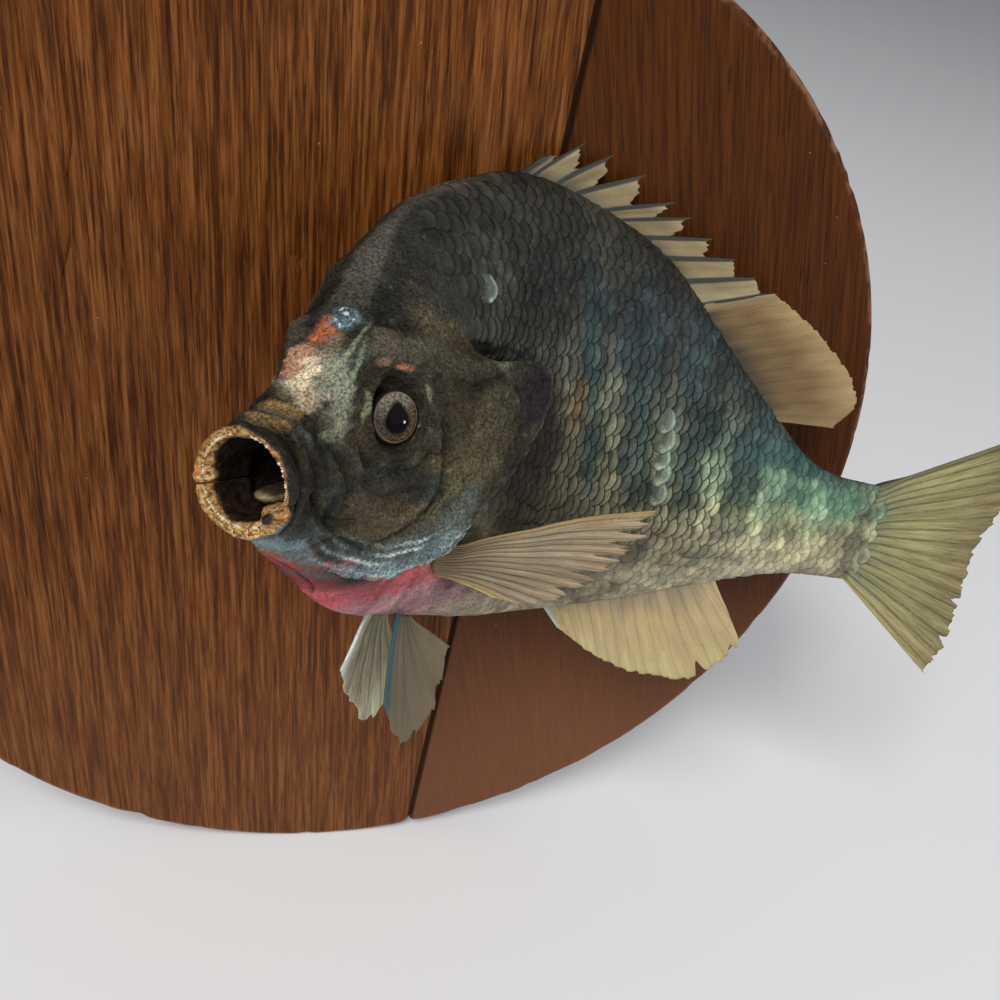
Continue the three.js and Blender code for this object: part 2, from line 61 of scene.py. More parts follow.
# ---- Camera, floor and lights ----
# A fixed camera in front of the fish's snout and above it, a plain pale floor under the board,
# and large soft lights. None of these is part of the object.
camera_data = bpy.data.cameras.new("camera")
camera_data.lens = 43.2
camera_data.sensor_width = 36
camera = bpy.data.objects.new("camera", camera_data)
bpy.context.scene.collection.objects.link(camera)
CAMERA_RIGHT = (0.949, -0.2423, 0.2018)
CAMERA_UP = (-0.0401, 0.5419, 0.8395)
CAMERA_FORWARD = (0.3127, 0.8048, -0.5045)
CAMERA_PLACE = (-55.81, -229.01, 127.87)
camera.matrix_world = Matrix([
    [CAMERA_RIGHT[i], CAMERA_UP[i], -CAMERA_FORWARD[i], CAMERA_PLACE[i] * MM] for i in range(3)
] + [[0, 0, 0, 1]])
bpy.context.scene.camera = camera
bpy.context.scene.view_settings.view_transform = "Standard"


def add_mesh(name, points, faces, uv_maps=(), colours=None, *, material):
    """One mesh object at the origin from arrays of points and faces. Each UV map is a name and one pair for
    each point, shared by all the corners that meet there; colours are four numbers for each point."""
    mesh = bpy.data.meshes.new(name)
    points = np.asarray(points, np.float32)
    faces = np.asarray(faces, np.int32)
    width = faces.shape[1]
    mesh.vertices.add(len(points))
    mesh.vertices.foreach_set("co", points.ravel())
    mesh.loops.add(faces.size)
    mesh.loops.foreach_set("vertex_index", faces.ravel())
    mesh.polygons.add(len(faces))
    mesh.polygons.foreach_set("loop_start", np.arange(0, faces.size, width, dtype=np.int32))
    mesh.polygons.foreach_set("use_smooth", np.ones(len(faces), bool))
    mesh.update(calc_edges=True)
    for map_name, numbers in uv_maps:
        layer = mesh.uv_layers.new(name=map_name)
        layer.data.foreach_set("uv", np.asarray(numbers, np.float32)[faces.ravel()].ravel())
    if colours is not None:
        layer = mesh.color_attributes.new(name="markings", type="FLOAT_COLOR", domain="POINT")
        layer.data.foreach_set("color", np.asarray(colours, np.float32).ravel())
    mesh.validate()
    piece = bpy.data.objects.new(name, mesh)
    bpy.context.scene.collection.objects.link(piece)
    mesh.materials.append(material)
    return piece


def new_material(name):
    """A new principled material and the tree that its nodes are added to."""
    material = bpy.data.materials.new(name)
    material.use_nodes = True
    return material, Tree(material.node_tree)


class Tree:
    """Adds nodes to one tree. An input is given by its name, or by _ and its place, as a number, a colour or
    another node's output."""

    def __init__(self, tree):
        self.tree = tree

    def feed(self, node, **inputs):
        for key, value in inputs.items():
            socket = node.inputs[int(key[1:])] if key[0] == "_" else node.inputs[key.replace("_", " ")]
            if isinstance(value, bpy.types.NodeSocket):
                self.tree.links.new(value, socket)
            else:
                socket.default_value = (*value, 1) if socket.type == "RGBA" else value

    def add(self, kind, settings=None, **inputs):
        node = self.tree.nodes.new(kind)
        for key, value in (settings or {}).items():
            setattr(node, key, value)
        self.feed(node, **inputs)
        return node

    def shade(self, **inputs):
        self.feed(self.tree.nodes["Principled BSDF"], **inputs)

    def maths(self, operation, a, b=0.0):
        return self.add("ShaderNodeMath", {"operation": operation}, _0=a, _1=b).outputs[0]

    def plus(self, a, b):
        return self.maths("ADD", a, b)

    def minus(self, a, b):
        return self.maths("SUBTRACT", a, b)

    def times(self, a, b):
        return self.maths("MULTIPLY", a, b)

    def spread(self, value, low, high, to_low=0.0, to_high=1.0):
        """A smooth step: one number up to low, another from high on."""
        return self.add("ShaderNodeMapRange", {"interpolation_type": "SMOOTHSTEP"}, Value=value, From_Min=low,
                        From_Max=high, To_Min=to_low, To_Max=to_high).outputs[0]

    def mix(self, factor, a, b, way="MIX"):
        return self.add("ShaderNodeMix", {"data_type": "RGBA", "blend_type": way}, _0=factor, _6=a, _7=b).outputs[2]

    def dye(self, factor, colour, tint):
        """The colour multiplied by a tint, as far as the factor says."""
        return self.mix(factor, colour, tint, "MULTIPLY")

    def noise(self, vector, scale, detail=3.0, roughness=0.5, distortion=0.0):
        return self.add("ShaderNodeTexNoise", None, Vector=vector, Scale=scale, Detail=detail,
                        Roughness=roughness, Distortion=distortion).outputs[0]

    def ramp(self, value, stops):
        node = self.add("ShaderNodeValToRGB", None, _0=value)
        points = node.color_ramp.elements
        for k, (at, colour) in enumerate(stops):
            point = points[k] if k < 2 else points.new(at)
            point.position = at
            point.color = (*colour, 1)
        return node.outputs[0]

    def vector(self, operation, a, **others):
        return self.add("ShaderNodeVectorMath", {"operation": operation}, _0=a, **others).outputs

    def parts(self, vector):
        return self.add("ShaderNodeSeparateXYZ", None, Vector=vector).outputs

    def uv(self, name):
        return self.add("ShaderNodeUVMap", {"uv_map": name}).outputs[0]

    def coordinates(self, scale=(1, 1, 1), turn=(0, 0, 0)):
        source = self.add("ShaderNodeTexCoord").outputs["Object"]
        return self.add("ShaderNodeMapping", None, Vector=source, Scale=scale, Rotation=turn).outputs[0]

    def bump(self, height, depth, strength=1.0):
        return self.add("ShaderNodeBump", None, Height=height, Distance=depth, Strength=strength).outputs[0]


FLOOR_Z = -114.3 * MM
floor_material, t = new_material("floor_paint")
t.shade(Base_Color=t.mix(t.noise(t.coordinates(), 3.0), (0.80, 0.80, 0.81), (0.84, 0.84, 0.84)), Roughness=0.9)
floor = add_mesh("floor", [(x, y, FLOOR_Z) for x, y in ((-4, -4), (4, -4), (4, 6), (-4, 6))], [[0, 1, 2, 3]],
                 material=floor_material)

world = bpy.data.worlds.new("pale_room")
bpy.context.scene.world = world
world.use_nodes = True
world.node_tree.nodes["Background"].inputs["Color"].default_value = (0.92, 0.95, 1.0, 1)
world.node_tree.nodes["Background"].inputs["Strength"].default_value = 0.24


def unit(vectors):
    """Each vector divided by its length."""
    return vectors / np.maximum(np.linalg.norm(vectors, axis=-1, keepdims=True), 1e-12)


def soft_light(name, place, size, power, colour):
    """A square area light at a place, facing the middle of the board's back."""
    data = bpy.data.lights.new(name, "AREA")
    data.size = size
    data.energy = power
    data.color = colour
    light = bpy.data.objects.new(name, data)
    bpy.context.scene.collection.objects.link(light)
    away = unit(np.array(place))
    side = unit(np.cross((0, 0, 1), away))
    up = np.cross(away, side)
    light.matrix_world = Matrix([[side[i], up[i], away[i], place[i]] for i in range(3)] + [[0, 0, 0, 1]])


soft_light("key_light", (-0.84, -1.36, 1.60), 0.9, 42, (1.0, 0.985, 0.96))
soft_light("fill_light", (1.3, -1.0, 0.7), 1.2, 11, (0.95, 0.97, 1.0))

# ---- The board: a disc sawn from two planks of dark stained hardwood, joined along a groove ----
# The front is flat with a small round at the rim, which is chipped in places; the joint opens into a
# notch at the lower rim, and a fine crack runs down the left plank.
RADIUS = 114.3
THICKNESS = 12.0
RIM_ROUND = 2.0
GROOVE_X = 24.6
CRACK_X = -64.6


def grid_faces(rows, columns, wrap=False, first=0):
    """Quads of a grid of points numbered row by row; with wrap, the last column joins the first."""
    i = np.arange(rows - 1)[:, None]
    j = np.arange(columns if wrap else columns - 1)[None, :]
    a = first + i * columns + j
    b = first + i * columns + (j + 1) % columns
    return np.stack([a, b, b + columns, a + columns], -1).reshape(-1, 4)


def outline_of(rows, columns):
    """The points round the outside of a grid, in order."""
    grid = np.arange(rows * columns).reshape(rows, columns)
    return np.concatenate([grid[:, 0], grid[-1, 1:], grid[-2::-1, -1], grid[0, -2:0:-1]])


def slab_faces(rows, columns):
    """Quads of a slab: one grid of points, a second numbered after it behind the first, and the rim that joins
    their outlines."""
    count = rows * columns
    ring = outline_of(rows, columns)
    after = np.roll(ring, -1)
    rim = np.stack([ring + count, after + count, after, ring], -1)
    return np.concatenate([grid_faces(rows, columns)[:, ::-1], grid_faces(rows, columns, first=count), rim])


LATTICE = 97


def value_noise(x, y, seed):
    """Smooth noise from -1 to 1: random numbers on a square lattice, eased between the four nearest."""
    lattice = np.random.default_rng(seed).uniform(-1, 1, (LATTICE, LATTICE))
    i, j = np.floor(x).astype(int), np.floor(y).astype(int)
    u, v = x - i, y - j
    u, v = u * u * (3 - 2 * u), v * v * (3 - 2 * v)
    i0, i1, j0, j1 = i % LATTICE, (i + 1) % LATTICE, j % LATTICE, (j + 1) % LATTICE
    low = lattice[i0, j0] * (1 - u) + lattice[i1, j0] * u
    high = lattice[i0, j1] * (1 - u) + lattice[i1, j1] * u
    return low * (1 - v) + high * v


def crack_sway(z):
    """How far the crack in the left plank wanders to the right at height z: two sines."""
    return 0.9 * np.sin((z - 30) / 14) + 0.35 * np.sin(z / 3.1)


CHIPPED_CORNER = (-45.6, -104.9)
KNOT_PIT = (-22.3, 42.6)


def board_mesh():
    """Columns stand at fixed x, closer together at the rim, the groove and the crack, and each column's rows
    fill the chord of the disc. The front falls by a quarter circle within the rim's round, by a V along the
    groove and by a narrow V along the crack. The back is the same sheet, flat at the wall."""
    turn = np.linspace(-np.pi / 2 + 0.02, np.pi / 2 - 0.02, 141)
    columns = RADIUS * np.sin(turn)
    grooves = GROOVE_X + np.array([-1.1, -0.8, -0.7, -0.45, -0.2, 0, 0.2, 0.45, 0.7, 0.8, 1.1])
    cracks = CRACK_X + np.array([-0.8, -0.4, -0.2, -0.1, 0, 0.1, 0.2, 0.4, 0.8])
    keep = (np.abs(columns - GROOVE_X) > 1.3) & (np.abs(columns - CRACK_X) > 1.2)
    columns = np.sort(np.concatenate([columns[keep], grooves, cracks]))
    rows = np.sin(np.linspace(-np.pi / 2, np.pi / 2, 161))
    x, v = np.meshgrid(columns, rows, indexing="ij")
    z = v * np.sqrt(np.maximum(RADIUS ** 2 - x ** 2, 0))
    near_crack = np.clip(1 - np.abs(x - CRACK_X) / 6, 0, 1)
    x = x + near_crack * crack_sway(z) * ((z > 10) & (z < 100))
    radius = np.hypot(x, z)
    angle = np.arctan2(z, x)
    chips = np.maximum(value_noise(angle * 32 + 200, 0 * angle, 5) - 0.35, 0) * 1.1
    chips += np.maximum(value_noise(angle * 110 + 400, 0 * angle, 6) - 0.4, 0) * 0.5
    notch = np.exp(-((angle + np.arccos(GROOVE_X / RADIUS)) / 0.012) ** 2) * 1.6
    corner = np.exp(-((angle - np.arctan2(CHIPPED_CORNER[1], CHIPPED_CORNER[0])) / 0.015) ** 2) * 1.3
    cut = (chips + notch + corner) * np.clip((radius - RADIUS + 4) / 4, 0, 1)
    shrink = 1 - cut / np.maximum(radius, 1)
    x, z = x * shrink, z * shrink
    inside = np.maximum(RIM_ROUND - (RADIUS - radius), 0)
    y = -THICKNESS + RIM_ROUND - np.sqrt(np.maximum(RIM_ROUND ** 2 - inside ** 2, 0))
    y = y + np.clip(1 - np.abs(x - GROOVE_X) / 0.75, 0, 1)
    crack = np.clip(1 - np.abs(x - CRACK_X - crack_sway(z)) / 0.35, 0, 1)
    y = y + 0.7 * crack * np.clip(1 - ((z - 56) / 27) ** 2, 0, 1)
    y = y + 0.5 * np.exp(-((x - KNOT_PIT[0]) ** 2 + (z - KNOT_PIT[1]) ** 2) / 1.6)
    points = np.stack([np.stack([x, y, z], -1), np.stack([x, 0 * y, z], -1)])
    return points.reshape(-1, 3) * MM, slab_faces(*x.shape)


wood, t = new_material("stained_wood")
place_on = t.coordinates()
to_right, to_back, upward = t.parts(place_on)
is_right = t.maths("GREATER_THAN", to_right, GROOVE_X * MM)


def along_grain(tilt, offset, width):
    """Object coordinates turned to one plank's grain and squeezed along it, so that noise is drawn out."""
    turned = t.coordinates((1, 1, 1), (0, np.radians(tilt), 0))
    return t.add("ShaderNodeMapping", None, Vector=turned, Location=(offset, 0, offset),
                 Scale=(1, 1, width)).outputs[0]


# Grain in three sizes, from broad bands to pores, each plank with its own lean in degrees.
LEFT_LEAN, RIGHT_LEAN = 6.5, 17
moved = t.mix(is_right, along_grain(LEFT_LEAN, 0.0, 0.035), along_grain(RIGHT_LEAN, 3.7, 0.035))
band = t.noise(moved, 90, 3, 0.6, 0.6)
streak = t.noise(moved, 1150, 3, 0.75)
fine_moved = t.mix(is_right, along_grain(LEFT_LEAN, 0.0, 0.05), along_grain(RIGHT_LEAN, 0.0, 0.05))
grain = t.plus(t.times(band, 0.18), t.times(streak, 0.82))
pore = t.spread(t.noise(fine_moved, 1900, 2, 0.6), 0.56, 0.70)
left_colour = t.ramp(t.spread(grain, 0.34, 0.66), (
    (0.0, (0.036, 0.009, 0.002)), (0.35, (0.092, 0.027, 0.005)), (0.7, (0.142, 0.045, 0.009)),
    (1.0, (0.205, 0.075, 0.020))))
right_colour = t.ramp(t.spread(grain, 0.28, 0.72), (
    (0.0, (0.038, 0.009, 0.001)), (0.5, (0.062, 0.017, 0.002)), (1.0, (0.090, 0.026, 0.004))))
wood_colour = t.mix(t.times(pore, 0.7), t.mix(is_right, left_colour, right_colour), (0.022, 0.006, 0.002))
# Paler and greyer towards the bottom, more so on the right, as a painted sheen of the light thrown up from the
# floor; and rubbed bare in places along the front arris.
painted_floor_sheen = t.times(t.spread(upward, 0.0, -0.09), t.plus(0.22, t.times(is_right, 0.40)))
wood_colour = t.mix(painted_floor_sheen, wood_colour, (0.19, 0.080, 0.040))
rim = t.vector("LENGTH", t.add("ShaderNodeCombineXYZ", None, X=to_right, Z=upward).outputs[0])["Value"]
arris = t.times(t.spread(rim, 0.1122, 0.1140), t.spread(to_back, -0.0095, -0.0110))
arris = t.times(arris, t.spread(t.noise(place_on, 300, 3), 0.42, 0.60))
wood_colour = t.mix(t.times(arris, 0.7), wood_colour, (0.30, 0.15, 0.075))
# Specks of dust, the dark joint and a varnish that has dulled unevenly.
specks = t.spread(t.noise(place_on, 900, 0), 0.87, 0.90)
wood_colour = t.mix(t.times(specks, 0.5), wood_colour, (0.34, 0.24, 0.16))
seam = t.spread(t.maths("ABSOLUTE", t.minus(to_right, GROOVE_X * MM)), 0.0011, 0.0004)
wood_colour = t.mix(t.times(seam, 0.8), wood_colour, (0.012, 0.005, 0.003))
worn = t.spread(t.noise(place_on, 14, 4), 0.45, 0.75)
t.shade(Base_Color=wood_colour, Roughness=t.plus(0.34, t.times(worn, 0.16)),
        Normal=t.bump(t.minus(grain, t.times(pore, 0.5)), 0.0004, 0.5),
        Coat_Weight=0.015, Coat_Roughness=0.25, Specular_IOR_Level=0.08)

board = add_mesh("round_board", *board_mesh(), material=wood)
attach(board, "root")
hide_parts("board")

# ---- The skin: one dried, painted skin over head, gill covers, throat, trunk and tail stem ----
# Leathery and bare on the head, with a loose edge over the gill slit that ends in a soft ear flap.
# It goes in at the mouth as a lining darkened with painted shade, sinks round the eyes and lies a scale's depth
# inside the form.
HUNDREDTH = 1.65 * MM
PROFILE_AT = [0, 5, 10, 15, 20, 25, 30, 40, 50, 60, 70, 80, 90, 100]
BACK_HEIGHT = [4.6, 7.7, 11.8, 16.1, 21.2, 25, 27.5, 31, 30, 26.9, 20.8, 14.3, 8.3, 7.3]
BELLY_DEPTH = [6, 10, 13.4, 16.4, 18.6, 20, 21, 22.6, 23, 20.8, 16.7, 11.8, 8.1, 7.2]
BODY_HALF_WIDTH = [4.5, 5.5, 6.7, 7.6, 8.1, 8.3, 8.4, 8.4, 7.8, 6.7, 5.3, 3.9, 2.5, 1.5]
SPINE_FIRST = -12
SPINE_STEP = 0.25
MID_BODY = (24, -29, 15.5)
MID_STATION = 50


def ease(low, high, x):
    """0 below low, 1 above high, and 3tt - 2ttt between them."""
    t = np.clip((x - low) / (high - low), 0, 1)
    return t * t * (3 - 2 * t)


def smooth(knots, values, x):
    """A curve through knots: on each span the cubic whose end slopes are those between a knot's neighbours."""
    knots = np.asarray(knots, float)
    values = np.asarray(values, float)
    last = len(knots) - 1
    at = np.clip(x, knots[0], knots[-1])
    i = np.clip(np.searchsorted(knots, at, side="right") - 1, 0, last - 1)
    before = np.maximum(np.arange(last + 1) - 1, 0)
    after = np.minimum(np.arange(last + 1) + 1, last)
    slope = (values[after] - values[before]) / (knots[after] - knots[before])
    h = knots[i + 1] - knots[i]
    t = (at - knots[i]) / h
    from_left = values[i] * (1 + 2 * t) * (1 - t) ** 2 + slope[i] * h * t * (1 - t) ** 2
    return from_left + values[i + 1] * t * t * (3 - 2 * t) - slope[i + 1] * h * t * t * (1 - t)


def bent_spine():
    """Frames along the spine from yaw, pitch and roll: each step adds half of both neighbours' directions.
    The middle of the body is then put in its place before the board."""
    s = np.arange(SPINE_FIRST, 140 + SPINE_STEP, SPINE_STEP)
    yaw = np.radians(smooth([0, 20, 40, 60, 80, 100], [47, 52, 26, -4, -9, -10], s))
    pitch = np.radians(smooth([0, 50, 100], [-15, -14, -2], s))
    roll = np.radians(smooth([0, 50, 100], [9, 13, 8], s))[:, None]
    along = np.stack([np.cos(yaw) * np.cos(pitch), np.sin(yaw) * np.cos(pitch), np.sin(pitch)], -1)
    side = unit(np.cross(along, [0, 0, 1]))
    up = np.cross(side, along)
    step = (along[1:] + along[:-1]) / 2 * SPINE_STEP * HUNDREDTH
    point = np.concatenate([np.zeros((1, 3)), np.cumsum(step, 0)])
    point += np.array(MID_BODY) * MM - point[int((MID_STATION - SPINE_FIRST) / SPINE_STEP)]
    return point, side * np.cos(roll) + up * np.sin(roll), up * np.cos(roll) - side * np.sin(roll)


SPINE_POINT, SPINE_LEFT, SPINE_BACK = bent_spine()


def place(s, left, up):
    """A point at station s, so far to the fish's left and so high, all in hundredths of the body's length.
    What would reach into the board is pressed flat against its front."""
    s, left, up = np.broadcast_arrays(np.asarray(s, float), left, up)
    at = np.clip((s - SPINE_FIRST) / SPINE_STEP, 0, len(SPINE_POINT) - 1.001)
    i = np.floor(at).astype(int)
    t = (at - i)[..., None]
    mixed = [frame[i] * (1 - t) + frame[i + 1] * t for frame in (SPINE_POINT, SPINE_LEFT, SPINE_BACK)]
    p = mixed[0] + mixed[1] * (left * HUNDREDTH)[..., None] + mixed[2] * (up * HUNDREDTH)[..., None]
    p[..., 1] = np.minimum(p[..., 1], -(THICKNESS + 0.3) * MM)
    return p


def back_height(s):
    """Height of the back above the midline: the curve through the profile's heights."""
    return smooth(PROFILE_AT, BACK_HEIGHT, s)


def belly_depth(s):
    """Depth of the belly below the midline: the curve through the profile's depths."""
    return smooth(PROFILE_AT, BELLY_DEPTH, s)


def body_width(s):
    """Half width of the body without its gill covers: the curve through the profile's widths."""
    return smooth(PROFILE_AT, BODY_HALF_WIDTH, s)


def cheek_flare(s):
    """How much wider than the body the cheeks and gill covers stand: a curve of its own, less the body's."""
    return smooth([0, 6, 13.5, 25, 38], [4.9, 4.6, 6.9, 11.5, 12.9], s) - body_width(s)


def head_width(s, z):
    """Half width over cheek and gill cover: the flare fades towards the nape."""
    return body_width(s) + cheek_flare(s) * (1 - ease(8, 16, z))


def trunk_width(s, z):
    """Half width of throat and trunk: narrower under the gill covers, as wide as the shoulder above them."""
    above = ease(7, 15, z)
    shoulder = cheek_flare(s) * (1 - ease(8, 16, z)) * (1 - ease(26, 42, s))
    behind = ease(14, 24, s)
    hollow = (1.2 * (1 - behind) + 2.2 * behind) * (1 - ease(36, 48, s))
    return body_width(s) + shoulder * above - hollow * (1 - above)


def crossing(s, z):
    """How much of the half width is left at height z: an ellipse, squarer over the forehead."""
    ratio = np.where(z > 0, z / back_height(s), -z / belly_depth(s))
    power = np.where(z > 0, 0.6 + 0.4 * ease(9, 22, s), 1.0)
    return np.sqrt(np.maximum(1 - ratio ** 2, 0)) ** power


# The loose edge of the gill cover, from the chin round the cheek to the ear flap and forward along its top.
GILL_EDGE = np.array([
    (-2, -5.2), (3, -6.9), (8.4, -10.1), (13.4, -12.2), (18.4, -12.3), (22.8, -10.8), (25.6, -8.8), (29.1, -5),
    (34.6, -0.8), (38.3, 4), (39.7, 8.4), (39.2, 10.6), (36, 11.2), (32, 10.6), (28.4, 10.2), (25.5, 13), (22.6, 18),
    (21, 24), (20, 30)])
FOLD_WIDTH = 2.6
FLAP_WALL = 0.42


def dense_line(knots, count):
    """Evenly spaced points on the smooth curve through knots, with how far along each one is."""
    knots = np.asarray(knots, float)
    way = np.concatenate([[0], np.cumsum(np.linalg.norm(np.diff(knots, axis=0), axis=1))])
    at = np.linspace(0, way[-1], count)
    return np.stack([smooth(way, knots[:, 0], at), smooth(way, knots[:, 1], at)], -1), at, way


def from_line(s, z, line, block=20000):
    """Signed distance to a dense line, the unit way out of it and the number of its nearest point, worked out
    in blocks of points to save memory."""
    flat = np.stack([s.ravel(), z.ravel()], -1)
    nearest = np.empty(len(flat), int)
    for first in range(0, len(flat), block):
        part = flat[first:first + block]
        nearest[first:first + block] = ((part[:, None] - line[None]) ** 2).sum(-1).argmin(1)
    tangent = unit(np.gradient(line, axis=0))
    out = np.stack([tangent[:, 1], -tangent[:, 0]], -1)
    away = flat - line[nearest]
    distance = (away * out[nearest]).sum(-1)
    far = np.linalg.norm(away, axis=1)
    distance = np.where(distance >= 0, np.maximum(distance, far * 0.999), -np.maximum(-distance, far * 0.999))
    return distance.reshape(s.shape), out[nearest].reshape(*s.shape, 2), nearest.reshape(s.shape)


GILL_LINE, GILL_WAY, GILL_KNOTS = dense_line(GILL_EDGE, 500)


def along_edge(number, values):
    """A value for each knot of the gill edge, read at a numbered point of its dense line."""
    return np.interp(GILL_WAY[number], GILL_KNOTS, values)


FOLD_STRENGTH = [0, 0, 0.5, 1, 1, 1, 1, 1, 1, 1, 1, 1, 1, 0.9, 0, 0, 0, 0, 0]
FOLD_DEPTH = [0, 0, 0.3, 0.5, 0.7, 0.8, 1.0, 1.3, 1.8, 2.3, 2.6, 2.5, 2.2, 1.6, 0, 0, 0, 0, 0]
BLEND_WIDTH = [0.5, 0.5, 0.4, 0.3, 0.3, 0.3, 0.3, 0.3, 0.3, 0.3, 0.3, 0.3, 0.3, 0.5, 1.2, 2.5, 4, 5, 5]


def body_points(s, z, inset):
    """The skin at station s and height z, with the fold of the gill cover, and set in by the inset behind it.
    d is the distance behind the gill edge. Within the fold's width the points are drawn along a Z-shaped path:
    out to the edge on the cover, round its wall, forward under it to the slit's root and back over the trunk.
    Beyond the fold, the width eases from the head's to the trunk's."""
    d, out, number = from_line(s, z, GILL_LINE)
    strength = along_edge(number, FOLD_STRENGTH)
    depth = along_edge(number, FOLD_DEPTH)
    width = along_edge(number, BLEND_WIDTH)
    tau = np.clip(d / FOLD_WIDTH, -1, 1)
    knots = [-1, -0.2, 0, 0.1, 0.5, 0.62, 1]
    path = np.interp(tau, knots, [-FOLD_WIDTH, -0.15, 0, -0.15, 0, 0.15, FOLD_WIDTH])
    path = path + depth * np.interp(tau, knots, [0, 0, 0, 0, -1, -1, 0])
    move = np.where(np.abs(tau) < 1, (path - d) * strength, 0)
    s2 = s + out[..., 0] * move
    z2 = np.clip(z + out[..., 1] * move, -belly_depth(s2), back_height(s2))
    on_head = head_width(s2, z2)
    on_trunk = trunk_width(s2, z2)
    under = np.maximum(on_head - FLAP_WALL, on_trunk + 0.06)
    w_out = 1 - ease(-0.1, 0.1, tau)
    w_trunk = ease(0.48, 0.64, tau)
    folded = on_head * w_out + under * (1 - w_out) * (1 - w_trunk) + on_trunk * w_trunk
    head = 1 - ease(-width, width, d)
    blended = on_trunk + (on_head - on_trunk) * head
    half = (blended * (1 - strength) + folded * strength) * crossing(s2, z2)
    coat = inset * (1 - head)
    half = np.maximum(half - coat * np.minimum(half, 1), 0)
    z2 = z2 * (1 - coat / np.where(z2 > 0, back_height(s2), belly_depth(s2)))
    hidden = strength * ease(0.02, 0.3, tau) * (1 - ease(0.7, 1, tau))
    return s2, z2, half, head, hidden, d


# Head lines: points (station, height), half width and rise, in hundredths, of each ridge or furrow.
HEAD_LINES = [
    ([(19.8, 3.5), (19.9, 0.5), (19.6, -3.8), (16.9, -6.9), (13, -8.2)], 0.35, -0.42),
    ([(18.6, 3), (18.7, -0.5), (18.2, -3.8), (15.8, -6.0)], 0.5, 0.26),
    ([(0.5, 4.9), (0.9, 3.4), (2.2, 1.6), (3.2, -0.8), (3.4, -2.8)], 0.35, -0.5),
    ([(1.2, 5.0), (1.9, 3.6), (3.2, 1.6), (4.2, -0.8), (4.4, -2.8)], 0.4, 0.32),
    ([(3.4, 4.6), (5.2, 2.6), (7, 0.8), (8.4, -2.2), (8.2, -4.2)], 0.4, -0.36),
    ([(4.4, 5.2), (6.4, 3.2), (8.3, 1.1), (9.8, -2)], 0.5, 0.26),
    ([(8.8, 2.6), (10.4, 0.6), (13, -0.5), (16, -0.4), (17.6, 0.6)], 0.35, -0.34),
    ([(8.2, 1.4), (10.2, -0.8), (13, -1.8), (16.6, -1.6)], 0.4, 0.22),
    ([(9.2, -0.6), (11.4, -2.4), (14.4, -3.0), (17.2, -2.6)], 0.3, -0.2),
    ([(2.5, -1.2), (4.4, -3.4), (7, -5), (9.6, -5.4)], 0.4, -0.42),
    ([(3, -3.4), (5.4, -5.4), (8.4, -6.4)], 0.35, 0.26),
    ([(5.6, -3.2), (8.4, -6.6), (12, -8.6)], 0.35, -0.3),
    ([(12, -4.2), (14.6, -5.4), (16.2, -5.4)], 0.6, 0.2),
    ([(9, 9.8), (11.5, 11.2), (14.5, 11.6), (17, 10)], 0.7, 0.4),
    ([(9.5, 11.6), (12.5, 13.2), (16, 13.4)], 0.5, -0.3),
    ([(18.4, 8.6), (19.8, 5.6), (19.6, 3.4)], 0.6, -0.24),
    ([(21.5, 8), (24.5, 7.6), (28.4, 8.8), (31, 9.6)], 0.5, -0.4),
    ([(21, -5), (24.2, -2.6), (27.5, 1.5), (29, 5)], 0.5, -0.22),
    ([(23, -6.4), (26.4, -3.6), (30.4, 0.6), (33, 4)], 0.4, 0.16),
    ([(22.8, 1), (26, 3.6), (30, 6.6), (34.4, 8.2)], 0.5, -0.18),
    ([(24, 9.6), (28, 10), (30, 9.6)], 0.5, 0.32),
    ([(1.8, 7), (4.2, 8.3), (7.5, 10.6), (9.2, 12.6)], 0.28, 0.3),
    ([(2.4, 6.2), (5, 7.4), (8, 9)], 0.28, 0.24),
    ([(14, 13.8), (17, 16.4), (20, 19.4), (23, 22.4)], 0.8, -0.3),
]
NOSTRIL = (5.5, 6.2)
EYE_STATION = 13.4
EYE_HEIGHT = 5
ORBIT_RADIUS = 5.6
ORBIT_TALL = 6.7
ORBIT_RISE = 0.45


def head_relief(s, z):
    """Rise of the bare skin in hundredths: a sum of soft ridges and furrows along lines, pits at the nostrils,
    swellings from smooth noise, and a net of creases where another noise passes through nought."""
    rise = np.zeros_like(s)
    for knots, width, height in HEAD_LINES:
        line = dense_line(knots, 40)[0]
        far = np.sqrt(((np.stack([s, z], -1)[..., None, :] - line) ** 2).sum(-1).min(-1))
        rise += height * np.exp(-(far / width) ** 2)
    pit = np.hypot((s - NOSTRIL[0]) / 0.55, (z - NOSTRIL[1]) / 0.4)
    rise -= 0.8 * np.exp(-pit ** 4)
    rise += 0.12 * np.exp(-((pit - 1.6) / 0.5) ** 2)
    rise += 0.13 * value_noise(s / 1.7 + 20, z / 1.3 + 20, 11) + 0.07 * value_noise(s / 0.7 + 20, z / 0.6 + 20, 12)
    rise += 0.24 * value_noise(s / 4 + 7, z / 5 + 7, 13) * (1 - ease(26, 34, s))
    for size, seed in ((2.1, 14), (1.2, 15)):
        sheet = value_noise((s + 0.5 * z) / size + 40, (z - 0.4 * s) / (0.7 * size) + 40, seed)
        rise -= 0.055 * size * np.exp(-(sheet / 0.13) ** 2)
    return rise


def eye_frame(side):
    """Centre of an eye on the cheek, the way out of it, turned a little forward, and its up and ahead ways."""
    def surface(ahead, above):
        """The cheek at a point so far towards the tail and so far above the eye's middle."""
        s, z = EYE_STATION + ahead, EYE_HEIGHT + above
        return place(s, side * head_width(s, z) * crossing(s, z), z)
    along = unit(surface(3, 0) - surface(-3, 0))
    up = surface(0, 3) - surface(0, -3)
    out = unit(unit(np.cross(along, up) * side) - 0.24 * along)
    up = unit(up - out * (up @ out))
    return surface(0, 0), out, up, np.cross(up, out) * side


